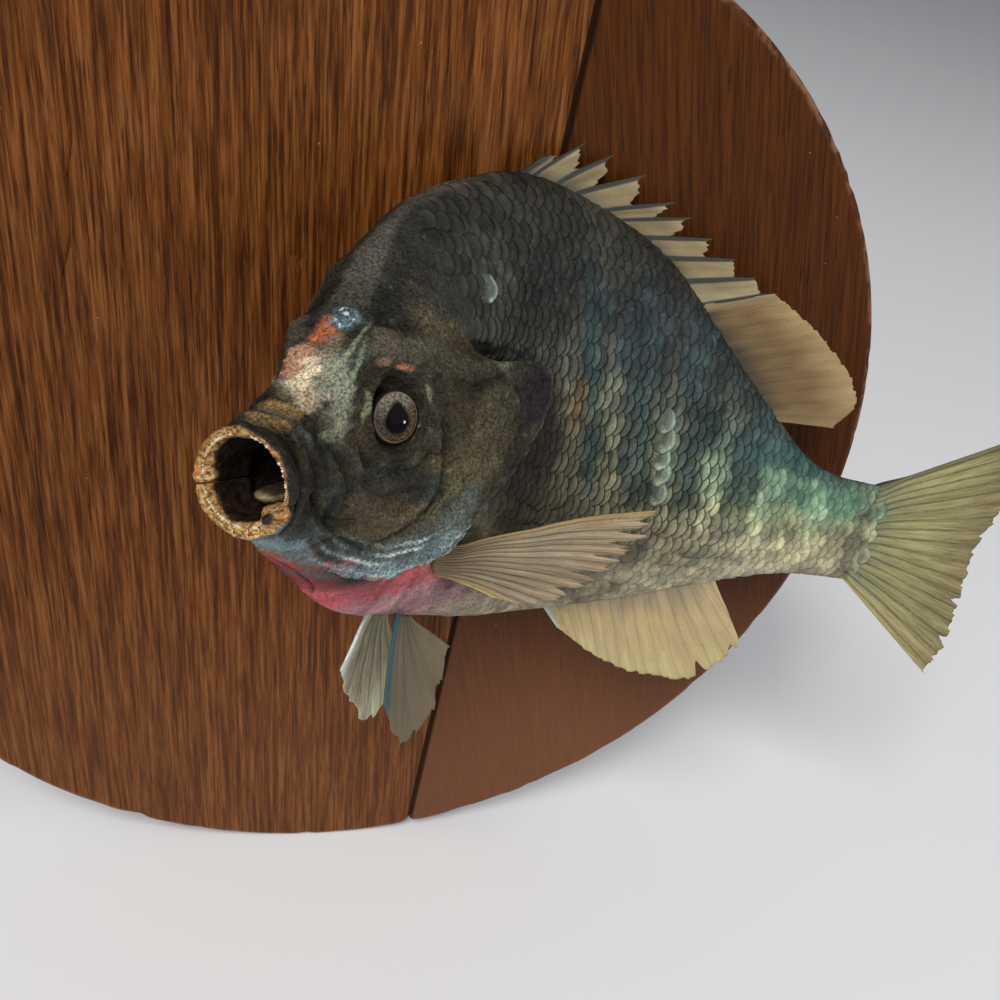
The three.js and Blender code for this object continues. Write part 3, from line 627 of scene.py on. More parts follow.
def sink_orbit(points, side):
    """Presses the skin into a bowl under the eye, with a wall up to a low rim and a faint ring round that."""
    centre, out, up, ahead = eye_frame(side)
    away = (points - centre) / MM
    high = away @ out
    radius = np.hypot(away @ ahead, (away @ up - ORBIT_RISE) * ORBIT_RADIUS / ORBIT_TALL)
    near = (np.abs(high) < 9) & (radius < 12)
    bowl = 1 - ease(ORBIT_RADIUS - 2.0, ORBIT_RADIUS + 0.1, radius)
    target = high * (1 - bowl) - 3.3 * bowl
    rim = 0.50 * np.exp(-((radius - ORBIT_RADIUS - 0.5) / 0.5) ** 2) - 0.25 * np.exp(-((radius - 7.2) / 0.6) ** 2)
    target = target + rim
    return points + np.where(near, target - high, 0)[..., None] * out * MM


def cap_quads(ring):
    """Fills a closed ring of points with quads from one side of it to the other."""
    ring = np.asarray(ring)
    n = len(ring)
    k = np.arange(n // 2 - 1)
    return np.stack([ring[k], ring[k + 1], ring[n - 2 - k], ring[n - 1 - k]], -1)


def tube_faces(rows, columns):
    """Quads of a tube of closed rings of points, and of a cap over each of its ends."""
    first = np.arange(columns)
    caps = [cap_quads(first)[:, ::-1], cap_quads((rows - 1) * columns + first)]
    return np.concatenate([grid_faces(rows, columns, wrap=True), *caps])


def pairs(a, b):
    """Two numbers for each point, for a UV map."""
    return np.stack([a, b], -1).reshape(-1, 2)


MOUTH_HEIGHT = -0.7
# Rings of the lining from the mouth's floor to the lips: station, half height and half width.
MOUTH_STEPS = [(11, 0.6, 0.4), (10, 2.0, 1.2), (8.8, 3.0, 1.8), (6.2, 3.9, 3.0), (3.8, 4.0, 3.5), (2.0, 4.0, 3.65),
               (0.55, 4.32, 3.95)]
SCALE_DEPTH = 0.28
NECK_WAY = unit(SPINE_POINT[52] - SPINE_POINT[44])


def normals_of(points):
    """Unit normals of a grid of points whose second way closes on itself, from the crossed differences."""
    round_it = np.roll(points, -1, 1) - np.roll(points, 1, 1)
    return unit(np.cross(np.gradient(points, axis=0), round_it))


def skin_mesh():
    """Rings of points round the body from the mouth's floor to the tail root, closer on the head and on the
    side that faces out. Each ring's height is the sine of its angle times the back's or belly's height."""
    out_side = np.linspace(np.pi / 2, -np.pi / 2, 217)[:-1]
    wall_side = np.linspace(-np.pi / 2, -3 * np.pi / 2, 115)[:-1]
    angle = np.concatenate([out_side, wall_side])
    stations = np.concatenate([[0.75], np.linspace(1.05, 42, 184), np.linspace(42, 100, 68)[1:]])
    s, turn = np.meshgrid(stations, angle, indexing="ij")
    rise = np.sin(turn)
    z = np.where(rise > 0, rise * back_height(s), rise * belly_depth(s))
    left = np.sign(np.round(np.cos(turn), 9))
    s2, z2, half, head, hidden, d = body_points(s, z, SCALE_DEPTH)
    points = place(s2, left * half, z2)
    relief = 1.35 * head_relief(s2, z2) * (0.35 + 0.65 * head) * (1 - hidden)
    relief *= ease(0.6, 2.2, s) * (np.abs(rise) < 0.9999)
    points = points - normals_of(points) * ((relief - 0.05) * HUNDREDTH)[..., None]
    for side in (1, -1):
        points = sink_orbit(points, side)
    mouth = [place(at, half_width * np.cos(angle), MOUTH_HEIGHT + half_height * np.sin(angle))
             for at, half_height, half_width in MOUTH_STEPS]
    mouth.append((points[0] + mouth[-1]) / 2 - NECK_WAY * 0.3 * HUNDREDTH)
    rings = len(mouth)
    all_points = np.concatenate([mouth, points])
    inner = np.ones((rings, len(angle)))
    # The zone map's second number is how much painted shade darkens the skin: fully down the mouth's lining, half at
    # its last ring, and in the hidden underside of the gill fold.
    dark = inner * np.where(np.arange(rings) == rings - 1, 0.5, 1)[:, None]
    zone_map = pairs(np.concatenate([inner, head]), np.concatenate([dark, hidden]))
    colours = fish_colour(s2, z2, head, d, left * half, relief)
    colours = np.concatenate([np.tile(colours[:1], (rings, 1, 1)), colours]).reshape(-1, 4)
    return all_points.reshape(-1, 3), tube_faces(*all_points.shape[:2]), [("zone", zone_map)], colours


# Colours over the height, in hundredths, for the bare head, the scaled trunk and the tail stem.
HEAD_TONES = [(-18, (0.15, 0.08, 0.08)), (-12, (0.115, 0.135, 0.13)), (-8, (0.070, 0.078, 0.066)),
              (-3, (0.026, 0.022, 0.014)), (4, (0.027, 0.023, 0.012)), (10, (0.032, 0.028, 0.019)),
              (17, (0.034, 0.031, 0.024)), (26, (0.040, 0.038, 0.031))]
TRUNK_TONES = [(-23, (0.36, 0.32, 0.22)), (-15, (0.25, 0.22, 0.145)), (-9, (0.155, 0.140, 0.086)),
               (-2, (0.102, 0.096, 0.059)), (6, (0.080, 0.082, 0.054)), (13, (0.040, 0.044, 0.036)),
               (20, (0.026, 0.027, 0.023)), (31, (0.030, 0.028, 0.023))]
STEM_TONES = [(-20, (0.33, 0.30, 0.20)), (-7, (0.36, 0.33, 0.22)), (-3, (0.36, 0.335, 0.21)),
              (0.5, (0.22, 0.24, 0.14)), (4.5, (0.16, 0.245, 0.165)), (8, (0.060, 0.100, 0.08)),
              (12, (0.032, 0.040, 0.034)), (20, (0.025, 0.030, 0.028))]
# Painted patches: centre and radii in hundredths, turn in degrees, strength, colour and gloss.
PATCHES = [
    ((26, -18.8), (20, 5.2), 0, 0.95, (0.36, 0.185, 0.205), 0.1),
    ((12, -16.6), (9, 2.6), -18, 0.6, (0.46, 0.12, 0.15), 0.2),
    ((8, -12.6), (9, 3.4), -20, 0.98, (0.62, 0.050, 0.062), 0.2),
    ((22, -14.6), (19, 2.4), -2, 0.9, (0.46, 0.085, 0.105), 0.1),
    ((54, -21), (14, 4), 0, 0.7, (0.34, 0.29, 0.20), 0),
    ((40, -16.2), (1.6, 0.9), 20, 0.6, (0.05, 0.03, 0.03), 0),
    ((45, 2), (4.2, 11), 10, 0.85, (0.036, 0.022, 0.012), 0),
    ((46.5, -1.5), (7, 10.5), 14, 0.72, (0.018, 0.012, 0.008), 0),
    ((50.3, 7.5), (1.8, 4.2), 6, 0.7, (0.14, 0.085, 0.03), 0.1),
    # Pale green along the ridge of the snout above the mouth: a painted highlight.
    ((1.6, 4.4), (0.5, 2.0), 0, 0.6, (0.24, 0.28, 0.23), 0.3),
    ((0.9, 6.0), (1.3, 1.0), 0, 0.8, (0.40, 0.25, 0.09), 0.1),
    ((12.5, -5), (5.5, 3), -20, 0.6, (0.080, 0.058, 0.024), 0),
    ((26, 1.5), (6, 5.5), 30, 0.65, (0.080, 0.068, 0.036), 0),
    ((11.5, -1.4), (6.5, 1.7), -6, 0.6, (0.017, 0.018, 0.015), 0.2),
    ((24, -6), (4.5, 3), 38, 0.6, (0.080, 0.092, 0.082), 0.1),
    ((20.5, 20.5), (7, 4), 55, 0.7, (0.018, 0.018, 0.015), 0.3),
    ((37.4, 7.6), (4.4, 3.3), 10, 0.96, (0.012, 0.009, 0.011), 0),
    ((2.3, 1.0), (2.3, 5.5), 0, 0.85, (0.010, 0.008, 0.006), 0),
    ((14.2, 11.2), (4.4, 1.4), 0, 0.55, (0.115, 0.100, 0.068), 0),
    ((20.8, 6.0), (3.0, 5.0), 0, 0.65, (0.022, 0.017, 0.008), 0),
    ((40.5, 16.5), (6.5, 5), 0, 0.7, (0.016, 0.015, 0.011), 0),
    ((31.5, 20), (5, 4.5), 0, 0.5, (0.060, 0.058, 0.046), 0),
    ((30.3, 10.1), (1.1, 0.8), 0, 0.6, (0.14, 0.14, 0.09), 0),
    ((4, -7.6), (4.6, 0.9), -30, 0.8, (0.17, 0.26, 0.29), 0.3),
    ((13, -11.0), (7, 0.9), -6, 0.7, (0.15, 0.23, 0.26), 0.3),
    ((21.5, -9.6), (4.2, 0.9), 33, 0.65, (0.13, 0.18, 0.19), 0.2),
    ((13.6, 5.1), (4.5, 4.9), 0, 0.93, (0.015, 0.011, 0.008), 0.1),
    # Two thin pale green lines before and behind the eye, on the orbit's rim: painted highlight.
    ((9.6, 6.0), (0.38, 1.7), -14, 0.7, (0.20, 0.22, 0.12), 0.2),
    ((17.6, 6.9), (0.3, 0.9), 12, 0.6, (0.20, 0.20, 0.11), 0.1),
    ((14.6, 9.5), (1.4, 0.3), -4, 0.85, (0.50, 0.17, 0.09), 0),
    ((12.2, 10.0), (1.2, 0.4), 10, 0.5, (0.28, 0.16, 0.11), 0),
    ((57.5, 18), (4.5, 5.5), -20, 0.55, (0.026, 0.046, 0.062), 0.3),
    ((84.5, 8.8), (8, 2.2), -6, 0.75, (0.036, 0.088, 0.085), 0.2),
    ((91, 4.2), (8, 2.6), -6, 0.4, (0.12, 0.27, 0.165), 0.1),
    ((95.8, 4.6), (2.6, 1.8), -6, 0.3, (0.10, 0.26, 0.18), 0.1),
    ((90.5, -4), (7, 2.2), 0, 0.6, (0.46, 0.42, 0.26), 0),
    ((98.5, 0), (1.8, 8), 0, 0.5, (0.17, 0.17, 0.11), 0),
    ((75, -5.4), (7, 3), 0, 0.6, (0.135, 0.128, 0.085), 0),
    ((73, -13), (10, 3), 0, 0.6, (0.33, 0.30, 0.205), 0),
]
# Patches on the crest of the forehead: station and distance to the left of the crest, then as above.
CREST_PATCHES = [
    ((5.6, 0.8), (3.0, 3.2), 0, 0.8, (0.36, 0.32, 0.235), 0.1),
    ((5.4, 0.0), (1.7, 1.6), 0, 0.85, (0.80, 0.68, 0.48), 0.1),
    ((6.8, 3.2), (1.8, 1.4), 0, 0.6, (0.34, 0.33, 0.26), 0.1),
    ((3.6, 1.6), (1.5, 1.0), 0, 0.7, (0.44, 0.35, 0.22), 0.1),
    ((7.4, 2.0), (2.6, 1.3), 0, 0.6, (0.15, 0.18, 0.13), 0.1),
    ((7.6, -1.6), (2.0, 1.5), 0, 0.8, (0.50, 0.26, 0.16), 0.1),
    ((11.0, -0.7), (1.4, 1.3), 0, 0.9, (0.50, 0.15, 0.07), 0),
    ((9.4, 0.9), (1.6, 1.0), 0, 0.6, (0.30, 0.22, 0.15), 0),
    ((12.7, 0.7), (1.3, 1.6), 0, 0.9, (0.11, 0.19, 0.23), 1.0),
    ((8.6, 2.6), (4.0, 0.26), 6, 0.8, (0.24, 0.28, 0.18), 0.1),
    ((7.2, 3.8), (4.2, 0.22), -6, 0.7, (0.19, 0.23, 0.15), 0.1),
]
BAR_FIRST = 53.5
BAR_EVERY = 8.5
HEAD_TINTS = np.array([(0.022, 0.030, 0.033), (0.075, 0.058, 0.026), (0.044, 0.046, 0.030)])
BAR_GREEN = np.array([0.040, 0.068, 0.057])
BAR_BLUE = np.array([0.028, 0.046, 0.053])
JAW_LINE_DARK = np.array([0.060, 0.078, 0.078])
JAW_LINE_PALE = np.array([0.56, 0.70, 0.70])


def lay(colour, tint, share):
    """A tint laid over a colour, from none at share 0 to all at share 1."""
    share = share[..., None]
    return np.asarray(colour) * (1 - share) + np.asarray(tint) * share


def fish_colour(s, z, head, d, left, relief):
    """The painted markings at station s and height z: tones over the height for head, trunk and stem, eased
    into each other along the body; slanting dark bars, a cosine of the station; painted shade in the furrows
    and painted light on the ridges of the bare head; patches, each an ellipse with an outline frayed by smooth
    noise; painted rim light along the crest of the nape; a painted shadow behind the gill edge and a painted
    highlight on the cover just inside it; and painted shade in the nostril.
    Returns red, green, blue and how much the surface glistens."""
    def noise(scale_s, scale_z, at, seed):
        """Smooth noise with lumps of a given length and height."""
        return value_noise(s / scale_s + at, z / scale_z + at, seed)

    fray_s = 0.9 * noise(1.9, 1.6, 50, 21) + 0.5 * noise(0.6, 0.55, 50, 22)
    fray_z = 0.9 * noise(1.9, 1.6, 70, 23) + 0.5 * noise(0.6, 0.55, 70, 24)
    broad = noise(5.5, 5, 30, 25)
    s1, z1 = s + fray_s, z + fray_z

    def tones(stops):
        """The colour at each height, read in a straight line between the stops."""
        heights, colours = zip(*stops)
        return np.stack([np.interp(z1 + 1.2 * broad, heights, band) for band in zip(*colours)], -1)

    body = lay(tones(TRUNK_TONES), tones(STEM_TONES), ease(64, 84, s1 + 0.25 * z1))
    lean = 0.34 * (1 - ease(64, 80, s))
    wave = np.cos((s1 + lean * (z - 6) + 1.2 * broad - BAR_FIRST) * 2 * np.pi / BAR_EVERY)
    pale = ease(0.1, -0.8, wave) * ease(-6, 0, z1) * (1 - ease(14, 20, z1)) * ease(42, 50, s)
    body = body * (1 + 0.75 * pale[..., None])
    bar = 0.9 * ease(-0.45, 0.65, wave) * ease(-1.1, -0.1, noise(5, 6, 90, 33))
    bar = bar * ease(-5, 2, z1) * (1 - ease(20, 27, z1)) * ease(38, 46, s) * (1 - ease(80, 88, s))
    body = lay(body, lay(BAR_GREEN, BAR_BLUE, 0.5 + 0.5 * noise(4, 3, 60, 28)), bar)
    bare = tones(HEAD_TONES)
    for k, tint in enumerate(HEAD_TINTS):
        share = ease(0.1, 0.7, value_noise(s / 3.1 + 10 * k, z / 2.6 + 7 * k, 81 + k)) * ease(-12, -6, z)
        bare = lay(bare, tint, 0.6 * share)
    ribs = (0.5 + 0.5 * np.sin(d * 6.5 + 3.0 * noise(6, 5, 9, 29))) ** 3
    ribs = ribs * ease(-0.6, 0.4, value_noise(s / 3 + 9, d / 0.8 + 9, 30))
    lines = ease(-5, -3.4, d) * (1 - ease(-0.1, 0.1, d)) * (1 - ease(-9.5, -5.5, z)) * ease(2, 5, s)
    bare = lay(bare, lay(JAW_LINE_DARK, JAW_LINE_PALE, ribs), 0.8 * lines)
    # The bare head darker in the furrows and paler on the ridges of its relief: painted shade and painted light.
    bare = bare * np.clip(1 + 1.5 * np.clip(relief, -0.5, 0.4), 0.3, 1.7)[..., None]
    colour = lay(body, bare, head)
    gloss = np.zeros_like(s)
    for patches, other, reach in ((PATCHES, z, 1), (CREST_PATCHES, left, ease(2, 5, z))):
        for centre, radii, turn, strength, tint, shine in patches:
            c, n = np.cos(np.radians(turn)), np.sin(np.radians(turn))
            small = min(1.0, min(radii) / 1.6)
            a, b = s + fray_s * small - centre[0], other + fray_z * small - centre[1]
            a, b = a * c + b * n, b * c - a * n
            mask = strength * (1 - ease(0.55, 1.25, np.hypot(a / radii[0], b / radii[1]))) * reach
            colour = lay(colour, tint, mask)
            gloss = gloss * (1 - mask) + shine * mask
    # A paler strip along the crest of the nape: painted rim light.
    crest = ease(0.975, 0.995, z / back_height(s)) * ease(11, 14, s) * (1 - ease(30, 38, s))
    colour = lay(colour, (0.11, 0.10, 0.085), 0.5 * crest)
    # Darkened towards black in a strip behind the gill edge: a painted shadow of the gill cover on the shoulder.
    gill_shadow = ease(-0.02, 0.25, d) * (1 - ease(1.0, 5.5, d)) * ease(16, 24, s) * (z < 12) * ease(-14, -10, z)
    colour = lay(colour, (0, 0, 0), 0.85 * gill_shadow)
    # A pale line on the gill cover just inside its edge: a painted highlight.
    pale = np.exp(-((d + 0.3) / 0.28) ** 2) * ease(3, 8, s) * (z < 10.5)
    colour = lay(colour, (0.13, 0.135, 0.115), 0.45 * pale)
    # Near black in the nostril's pit: painted shade.
    nostril = np.exp(-((s - 5.2) / 0.45) ** 2 - ((z - 6.3) / 0.38) ** 2)
    colour = lay(colour, (0, 0, 0), 0.93 * np.minimum(1.3 * nostril, 1))
    colour = colour * (1 + 0.28 * broad + 0.34 * (1 - 0.5 * head) * noise(1.9, 1.6, 5, 27))[..., None]
    return np.concatenate([np.clip(colour, 0.002, 1), gloss[..., None]], -1)


def painted(t):
    """The markings of a piece, from its points: the colour and the glisten."""
    read = t.add("ShaderNodeAttribute", {"attribute_name": "markings"})
    return read.outputs["Color"], read.outputs["Alpha"]


def mottle_group():
    """A node group for dust and stain in paint. A noise's smooth step is the mask; times the strength, it leads
    from the colour times the dark tint to the colour times the light one, and the share lays that on."""
    group = bpy.data.node_groups.new("mottled_paint", "ShaderNodeTree")
    kinds = {"Colour": "Color", "Dark": "Color", "Light": "Color", "Vector": "Vector"}
    for name in ("Colour", "Vector", "Scale", "Detail", "Roughness", "Low", "High", "Strength", "Dark", "Light",
                 "Share"):
        group.interface.new_socket(name, in_out="INPUT", socket_type="NodeSocket" + kinds.get(name, "Float"))
    group.interface.new_socket("Colour", in_out="OUTPUT", socket_type="NodeSocketColor")
    group.interface.new_socket("Mask", in_out="OUTPUT", socket_type="NodeSocketFloat")
    t = Tree(group)
    given = t.add("NodeGroupInput").outputs
    colour = given["Colour"]
    mask = t.spread(t.noise(given["Vector"], given["Scale"], given["Detail"], given["Roughness"]),
                    given["Low"], given["High"])
    dark, light = [t.dye(1.0, colour, given[name]) for name in ("Dark", "Light")]
    picked = t.mix(t.times(given["Strength"], mask), dark, light)
    t.add("NodeGroupOutput", None, Colour=t.mix(given["Share"], colour, picked), Mask=mask)
    return group


MOTTLE = mottle_group()


def mottled(t, **given):
    """The group of mottled paint, placed in a material with its own values: its colour and its mask."""
    return t.add("ShaderNodeGroup", {"node_tree": MOTTLE}, **given).outputs


flesh, t = new_material("painted_skin")
is_bare, is_hidden, _ = t.parts(t.uv("zone"))
colour, gloss = painted(t)
spot = t.coordinates()
fine = t.noise(spot, 1100, 4, 0.7)
folds = t.noise(t.coordinates((1, 1, 1.5), (0, 0.5, 0)), 300, 5, 0.68, 0.6)
pits = t.add("ShaderNodeTexVoronoi", None, Vector=spot, Scale=620.0).outputs[0]
colour, _ = mottled(t, Colour=colour, Vector=spot, Scale=1900, Detail=4, Roughness=0.75, Low=0.38, High=0.60,
                    Strength=1, Dark=(0.36, 0.36, 0.38), Light=(1.95, 1.90, 1.80),
                    Share=t.plus(0.45, t.times(is_bare, 0.35)))
# Painted shade in the creases between the folds, and painted light on the folds, where the paint is also
# rubbed glossier; painted glints, pale blue-white spots, where the markings glisten.
rubbed_and_lit = t.spread(folds, 0.58, 0.72)
colour = t.dye(t.times(t.spread(folds, 0.42, 0.30), 0.75), colour, (0.30, 0.29, 0.28))
colour = t.dye(t.times(rubbed_and_lit, 0.8), colour, (2.0, 2.0, 1.85))
glints = t.times(t.spread(gloss, 0.5, 0.9), t.spread(t.noise(spot, 1100, 3), 0.54, 0.62))
colour = t.mix(glints, colour, (0.70, 0.80, 0.85))
# Near black under the gill fold and down the mouth's lining: painted shade.
colour = t.mix(is_hidden, colour, t.mix(folds, (0.004, 0.002, 0.001), (0.022, 0.011, 0.006)))
height = t.minus(t.plus(folds, t.times(fine, 0.42)), t.times(t.spread(pits, 0.22, 0.05), 0.10))
t.shade(Base_Color=colour, Normal=t.bump(height, 0.0021, 0.9), Specular_IOR_Level=0.15, Coat_Roughness=0.16,
        Roughness=t.minus(t.minus(0.50, t.times(rubbed_and_lit, 0.14)), t.times(gloss, 0.3)),
        Coat_Weight=t.plus(0.04, t.plus(t.times(rubbed_and_lit, 0.5), t.times(glints, 0.5))))
skin = add_mesh("skin", *skin_mesh(), material=flesh)
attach(skin, "root")
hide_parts("head", "trunk", "tail_stem", "throat", "gill_cover_left", "gill_cover_right")

# ---- The scales: thin overlapping plates over throat, trunk and tail stem ----
# Each is a small rounded plate, rooted in the skin and lifted at its free edge towards the tail, in rows
# staggered by half. A few have dried and curled up. They are one joined mesh on each side of the fish.
SCALE_ALONG = 1.28
SCALE_ACROSS = 2.22
SCALE_LENGTH = 3.1
SCALE_HALF = 1.72
SCALE_WALL = 0.13
SCALE_COLUMNS, SCALE_ROWS = 7, 6
BAKE_PATCH = 0.003
RAISED_SCALES = [(65.3, 8.6), (66.1, 6.8), (66.8, 5.0), (67.5, 3.0), (68.2, 1.2), (31.4, 17.6)]


def arc_table():
    """For stations along the body and angles of the ring, how far round from height 0 the skin is."""
    stations = np.linspace(0, 101, 102)
    angle = np.linspace(-np.pi / 2, np.pi / 2, 121)
    s, a = np.meshgrid(stations, angle, indexing="ij")
    z = np.where(a > 0, np.sin(a) * back_height(s), np.sin(a) * belly_depth(s))
    half = trunk_width(s, z) * crossing(s, z)
    step = np.hypot(np.diff(z, axis=1), np.diff(half, axis=1))
    arc = np.concatenate([np.zeros((len(stations), 1)), np.cumsum(step, 1)], 1)
    return arc - arc[:, 60:61], angle


ARC, ARC_ANGLE = arc_table()


def height_at(s, arc):
    """The height whose distance round the skin from height 0 is arc, read between the table's entries."""
    shape, s, arc = s.shape, s.ravel(), arc.ravel()
    i = np.clip(np.floor(s).astype(int), 0, len(ARC) - 2)
    t = (s - i)[:, None]
    table = ARC[i] * (1 - t) + ARC[i + 1] * t
    k = np.clip((table < arc[:, None]).sum(1) - 1, 0, len(ARC_ANGLE) - 2)
    rows = np.arange(len(s))
    low, high = table[rows, k], table[rows, k + 1]
    part = np.clip((arc - low) / np.maximum(high - low, 1e-6), 0, 1)
    angle = ARC_ANGLE[k] * (1 - part) + ARC_ANGLE[k + 1] * part
    return (np.sin(angle) * np.where(angle > 0, back_height(s), belly_depth(s))).reshape(shape)


def scale_roots(seed):
    """Root stations and arcs on a staggered lattice that tightens towards the tail, kept behind the gill edge."""
    random = np.random.default_rng(seed)
    column, row = np.meshgrid(np.arange(78), np.arange(-14, 18), indexing="ij")
    s = 1.5 + column * SCALE_ALONG + (row % 2) * SCALE_ALONG / 2
    s = s + random.uniform(-0.13, 0.13, s.shape)
    squeeze = 1 - 0.22 * ease(60, 96, s)
    arc = row * SCALE_ACROSS * squeeze + 0.5 + random.uniform(-0.12, 0.12, s.shape)
    s, arc = s.ravel(), arc.ravel()
    top, bottom = [np.interp(s, np.arange(len(ARC)), ARC[:, end]) for end in (-1, 0)]
    keep = (arc < top - 0.2) & (arc > bottom + 0.2) & (s < 99)
    s, arc = s[keep], arc[keep]
    z = height_at(s, arc)
    d, _, number = from_line(s, z, GILL_LINE)
    strength = along_edge(number, FOLD_STRENGTH)
    keep = d > np.where(strength > 0.5, -0.3, 1.2 + 1.6 * value_noise(s, z, 31))
    keep &= (z > -7) | (s > 34 + 13 * (1 - ease(-15, -8, z)) + 2 * value_noise(s / 3, z / 3 + 20, 32))
    return s[keep], arc[keep]


def scale_mesh(side, seed):
    """Every scale at once. Across a scale u runs from -1 to 1 and along it v from 0 to 1; its outline is
    rounded by setting the ends of its free edge back by a power of u. Each point is set on the skin at its own
    station and arc, then lifted by the plate's slope, its crown and its wall."""
    def surface(s, z):
        """The skin over trunk and stem, on this side of the fish."""
        return place(s, side * trunk_width(s, z) * crossing(s, z), z)

    random = np.random.default_rng(seed)
    s0, arc0 = scale_roots(seed)
    count = len(s0)
    z0 = height_at(s0, arc0)
    raised = np.zeros(count)
    for at in RAISED_SCALES if side > 0 else ():
        raised[np.argmin((s0 + SCALE_LENGTH * 0.7 - at[0]) ** 2 + (z0 - at[1]) ** 2)] = 1
    size = 1 - 0.18 * ease(62, 96, s0) - 0.25 * (1 - ease(24, 34, s0)) + random.uniform(-0.08, 0.08, count)
    loose = np.maximum(random.uniform(-6, 1, count), 0) ** 2 * 0.3
    slant = random.normal(0, 0.11, count)
    u, v = np.meshgrid(np.linspace(-1, 1, SCALE_COLUMNS), np.linspace(0, 1, SCALE_ROWS), indexing="ij")
    u, v = u.ravel(), v.ravel()
    shape = 0.72 + 0.28 * ease(0, 0.45, v) - 0.10 * ease(0.75, 1, v)
    ahead = v * (1 - 0.30 * np.abs(u) ** 2.2 * v)
    s = s0[:, None] + size[:, None] * SCALE_LENGTH * ahead
    arc = arc0[:, None] + size[:, None] * SCALE_HALF * u * shape + slant[:, None] * ahead * SCALE_LENGTH
    z = height_at(s, arc)
    half = trunk_width(s, z) * crossing(s, z)
    coat = SCALE_DEPTH * np.minimum(half, 1)
    base = place(s, side * (half - coat), z * (1 - SCALE_DEPTH / np.where(z > 0, back_height(s), belly_depth(s))))
    step = 0.4
    round_it = surface(s, height_at(s, arc + step)) - surface(s, height_at(s, arc - step))
    normal = unit(np.cross(surface(s + step, z) - surface(s - step, z), round_it) * side)
    steep = 0.13 + 0.36 * ease(-11, -2, z0) * (1 - ease(76, 88, s0)) * (1 - 0.4 * ease(14, 22, z0))
    slope = (steep + loose + 0.85 * raised)[:, None] * v ** 1.3 * (1 + 0.12 * np.cos(np.pi * u))
    tilt = random.normal(0, 0.05, count)[:, None] * u * v
    top = base + normal * ((slope + tilt + 0.05 * (1 - u ** 2) - 0.12) * MM)[..., None]
    ring = outline_of(SCALE_COLUMNS, SCALE_ROWS)
    one = np.concatenate([top, (top - normal * (SCALE_WALL * MM))[:, ring]], 1)
    under = len(u) + np.arange(len(ring))
    wall = np.stack([ring, np.roll(ring, -1), np.roll(under, -1), under], -1)
    faces = np.concatenate([grid_faces(SCALE_COLUMNS, SCALE_ROWS), wall, cap_quads(under)])[:, ::side]
    per = one.shape[1]
    faces = (faces[None] + (np.arange(count) * per)[:, None, None]).reshape(-1, 4)

    def both(values):
        """Values of the upper points of every scale and of those under its outline."""
        values = np.broadcast_to(values, s.shape)
        return np.concatenate([values, values[:, ring]], 1).ravel()

    colours = fish_colour(s, z, 0 * s, from_line(s, z, GILL_LINE)[0], 0 * s + 50, 0 * s)
    clear = ease(-11, -1, z) * (1 - 0.75 * ease(11, 19, z)) * (1 - 0.8 * ease(72, 84, s)) * ease(24, 36, s)
    colours[..., 3] = clear
    colours = np.concatenate([colours, colours[:, ring]], 1).reshape(-1, 4)
    tone_map = np.repeat(np.stack([random.uniform(0, 1, count), raised], -1), per, 0)
    around = (arc0 - ARC[50, 0]) / (ARC[50, -1] - ARC[50, 0]) * 0.8 + 0.1
    bake_map = pairs(both(s0[:, None] / 104 + 0.01 + (v - 0.5) * BAKE_PATCH),
                     both(around[:, None] + u * 0.5 * BAKE_PATCH))
    scale_map = pairs(both(u * 0.5 + 0.5), both(v))
    return one.reshape(-1, 3), faces, [("OFBake", bake_map), ("scale", scale_map), ("tone", tone_map)], colours


plate, t = new_material("painted_scale")
colour, clear = painted(t)
plate_across, plate_along, _ = t.parts(t.uv("scale"))
own_tone, is_raised, _ = t.parts(t.uv("tone"))
spot = t.coordinates()
fine = t.noise(spot, 1200, 3, 0.65)
off_middle = t.times(t.maths("ABSOLUTE", t.minus(plate_across, 0.5)), 2.0)
length = t.plus(plate_along, t.times(t.maths("POWER", off_middle, 2.2), 0.06))
# Each scale has its own tone, is darkened at its root by painted shade and has a dark outline at its free edge; the
# paler band before that edge is painted rim light.
colour = t.dye(0.8, colour, t.mix(own_tone, (0.66, 0.68, 0.71), (1.42, 1.36, 1.28)))
root = t.times(t.spread(length, 0.74, 0.54), t.plus(t.times(clear, 0.65), 0.2))
colour = t.dye(root, colour, (0.14, 0.16, 0.17))
rim = t.times(t.times(t.spread(length, 0.80, 0.88), t.spread(length, 0.95, 0.91)), 0.6)
colour = t.dye(t.times(rim, clear), colour, (1.7, 1.7, 1.6))
edge = t.times(t.spread(length, 0.915, 0.96), t.plus(t.times(clear, 0.75), 0.15))
colour = t.dye(edge, colour, (0.10, 0.11, 0.12))
curled = t.times(is_raised, t.plus(t.times(t.spread(length, 0.80, 0.93), 0.6), 0.12))
colour = t.mix(curled, colour, (0.40, 0.52, 0.42))
colour, _ = mottled(t, Colour=colour, Vector=spot, Scale=420, Detail=4, Roughness=0.65, Low=0.40, High=0.62,
                    Strength=0.55, Dark=(0.66, 0.68, 0.70), Light=(1.3, 1.3, 1.25), Share=1)
colour = t.dye(t.times(t.spread(fine, 0.45, 0.68), 0.2), colour, (2.2, 2.0, 1.7))
circles = t.times(t.maths("SINE", t.times(length, 80.0)), 0.10)
t.shade(Base_Color=colour, Roughness=t.plus(0.34, t.times(fine, 0.22)), Specular_IOR_Level=0.18,
        Normal=t.bump(t.plus(circles, fine), 0.0004, 0.7),
        Coat_Weight=t.times(t.spread(fine, 0.5, 0.7), 0.25), Coat_Roughness=0.2)
for name, side, seed in (("scales_left", 1, 41), ("scales_right", -1, 42)):
    scales = add_mesh(name, *scale_mesh(side, seed), material=plate)
    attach(scales, "root")

# ---- The fins: dried membranes stiffened by rays ----
# Each is a thin sheet between a root line and a line of ray tips, with a low ridge on both faces for each
# ray, forked in its outer half, a worn and torn outer edge, and a fleshy root set into the body.
FIN_EDGE = 0.24


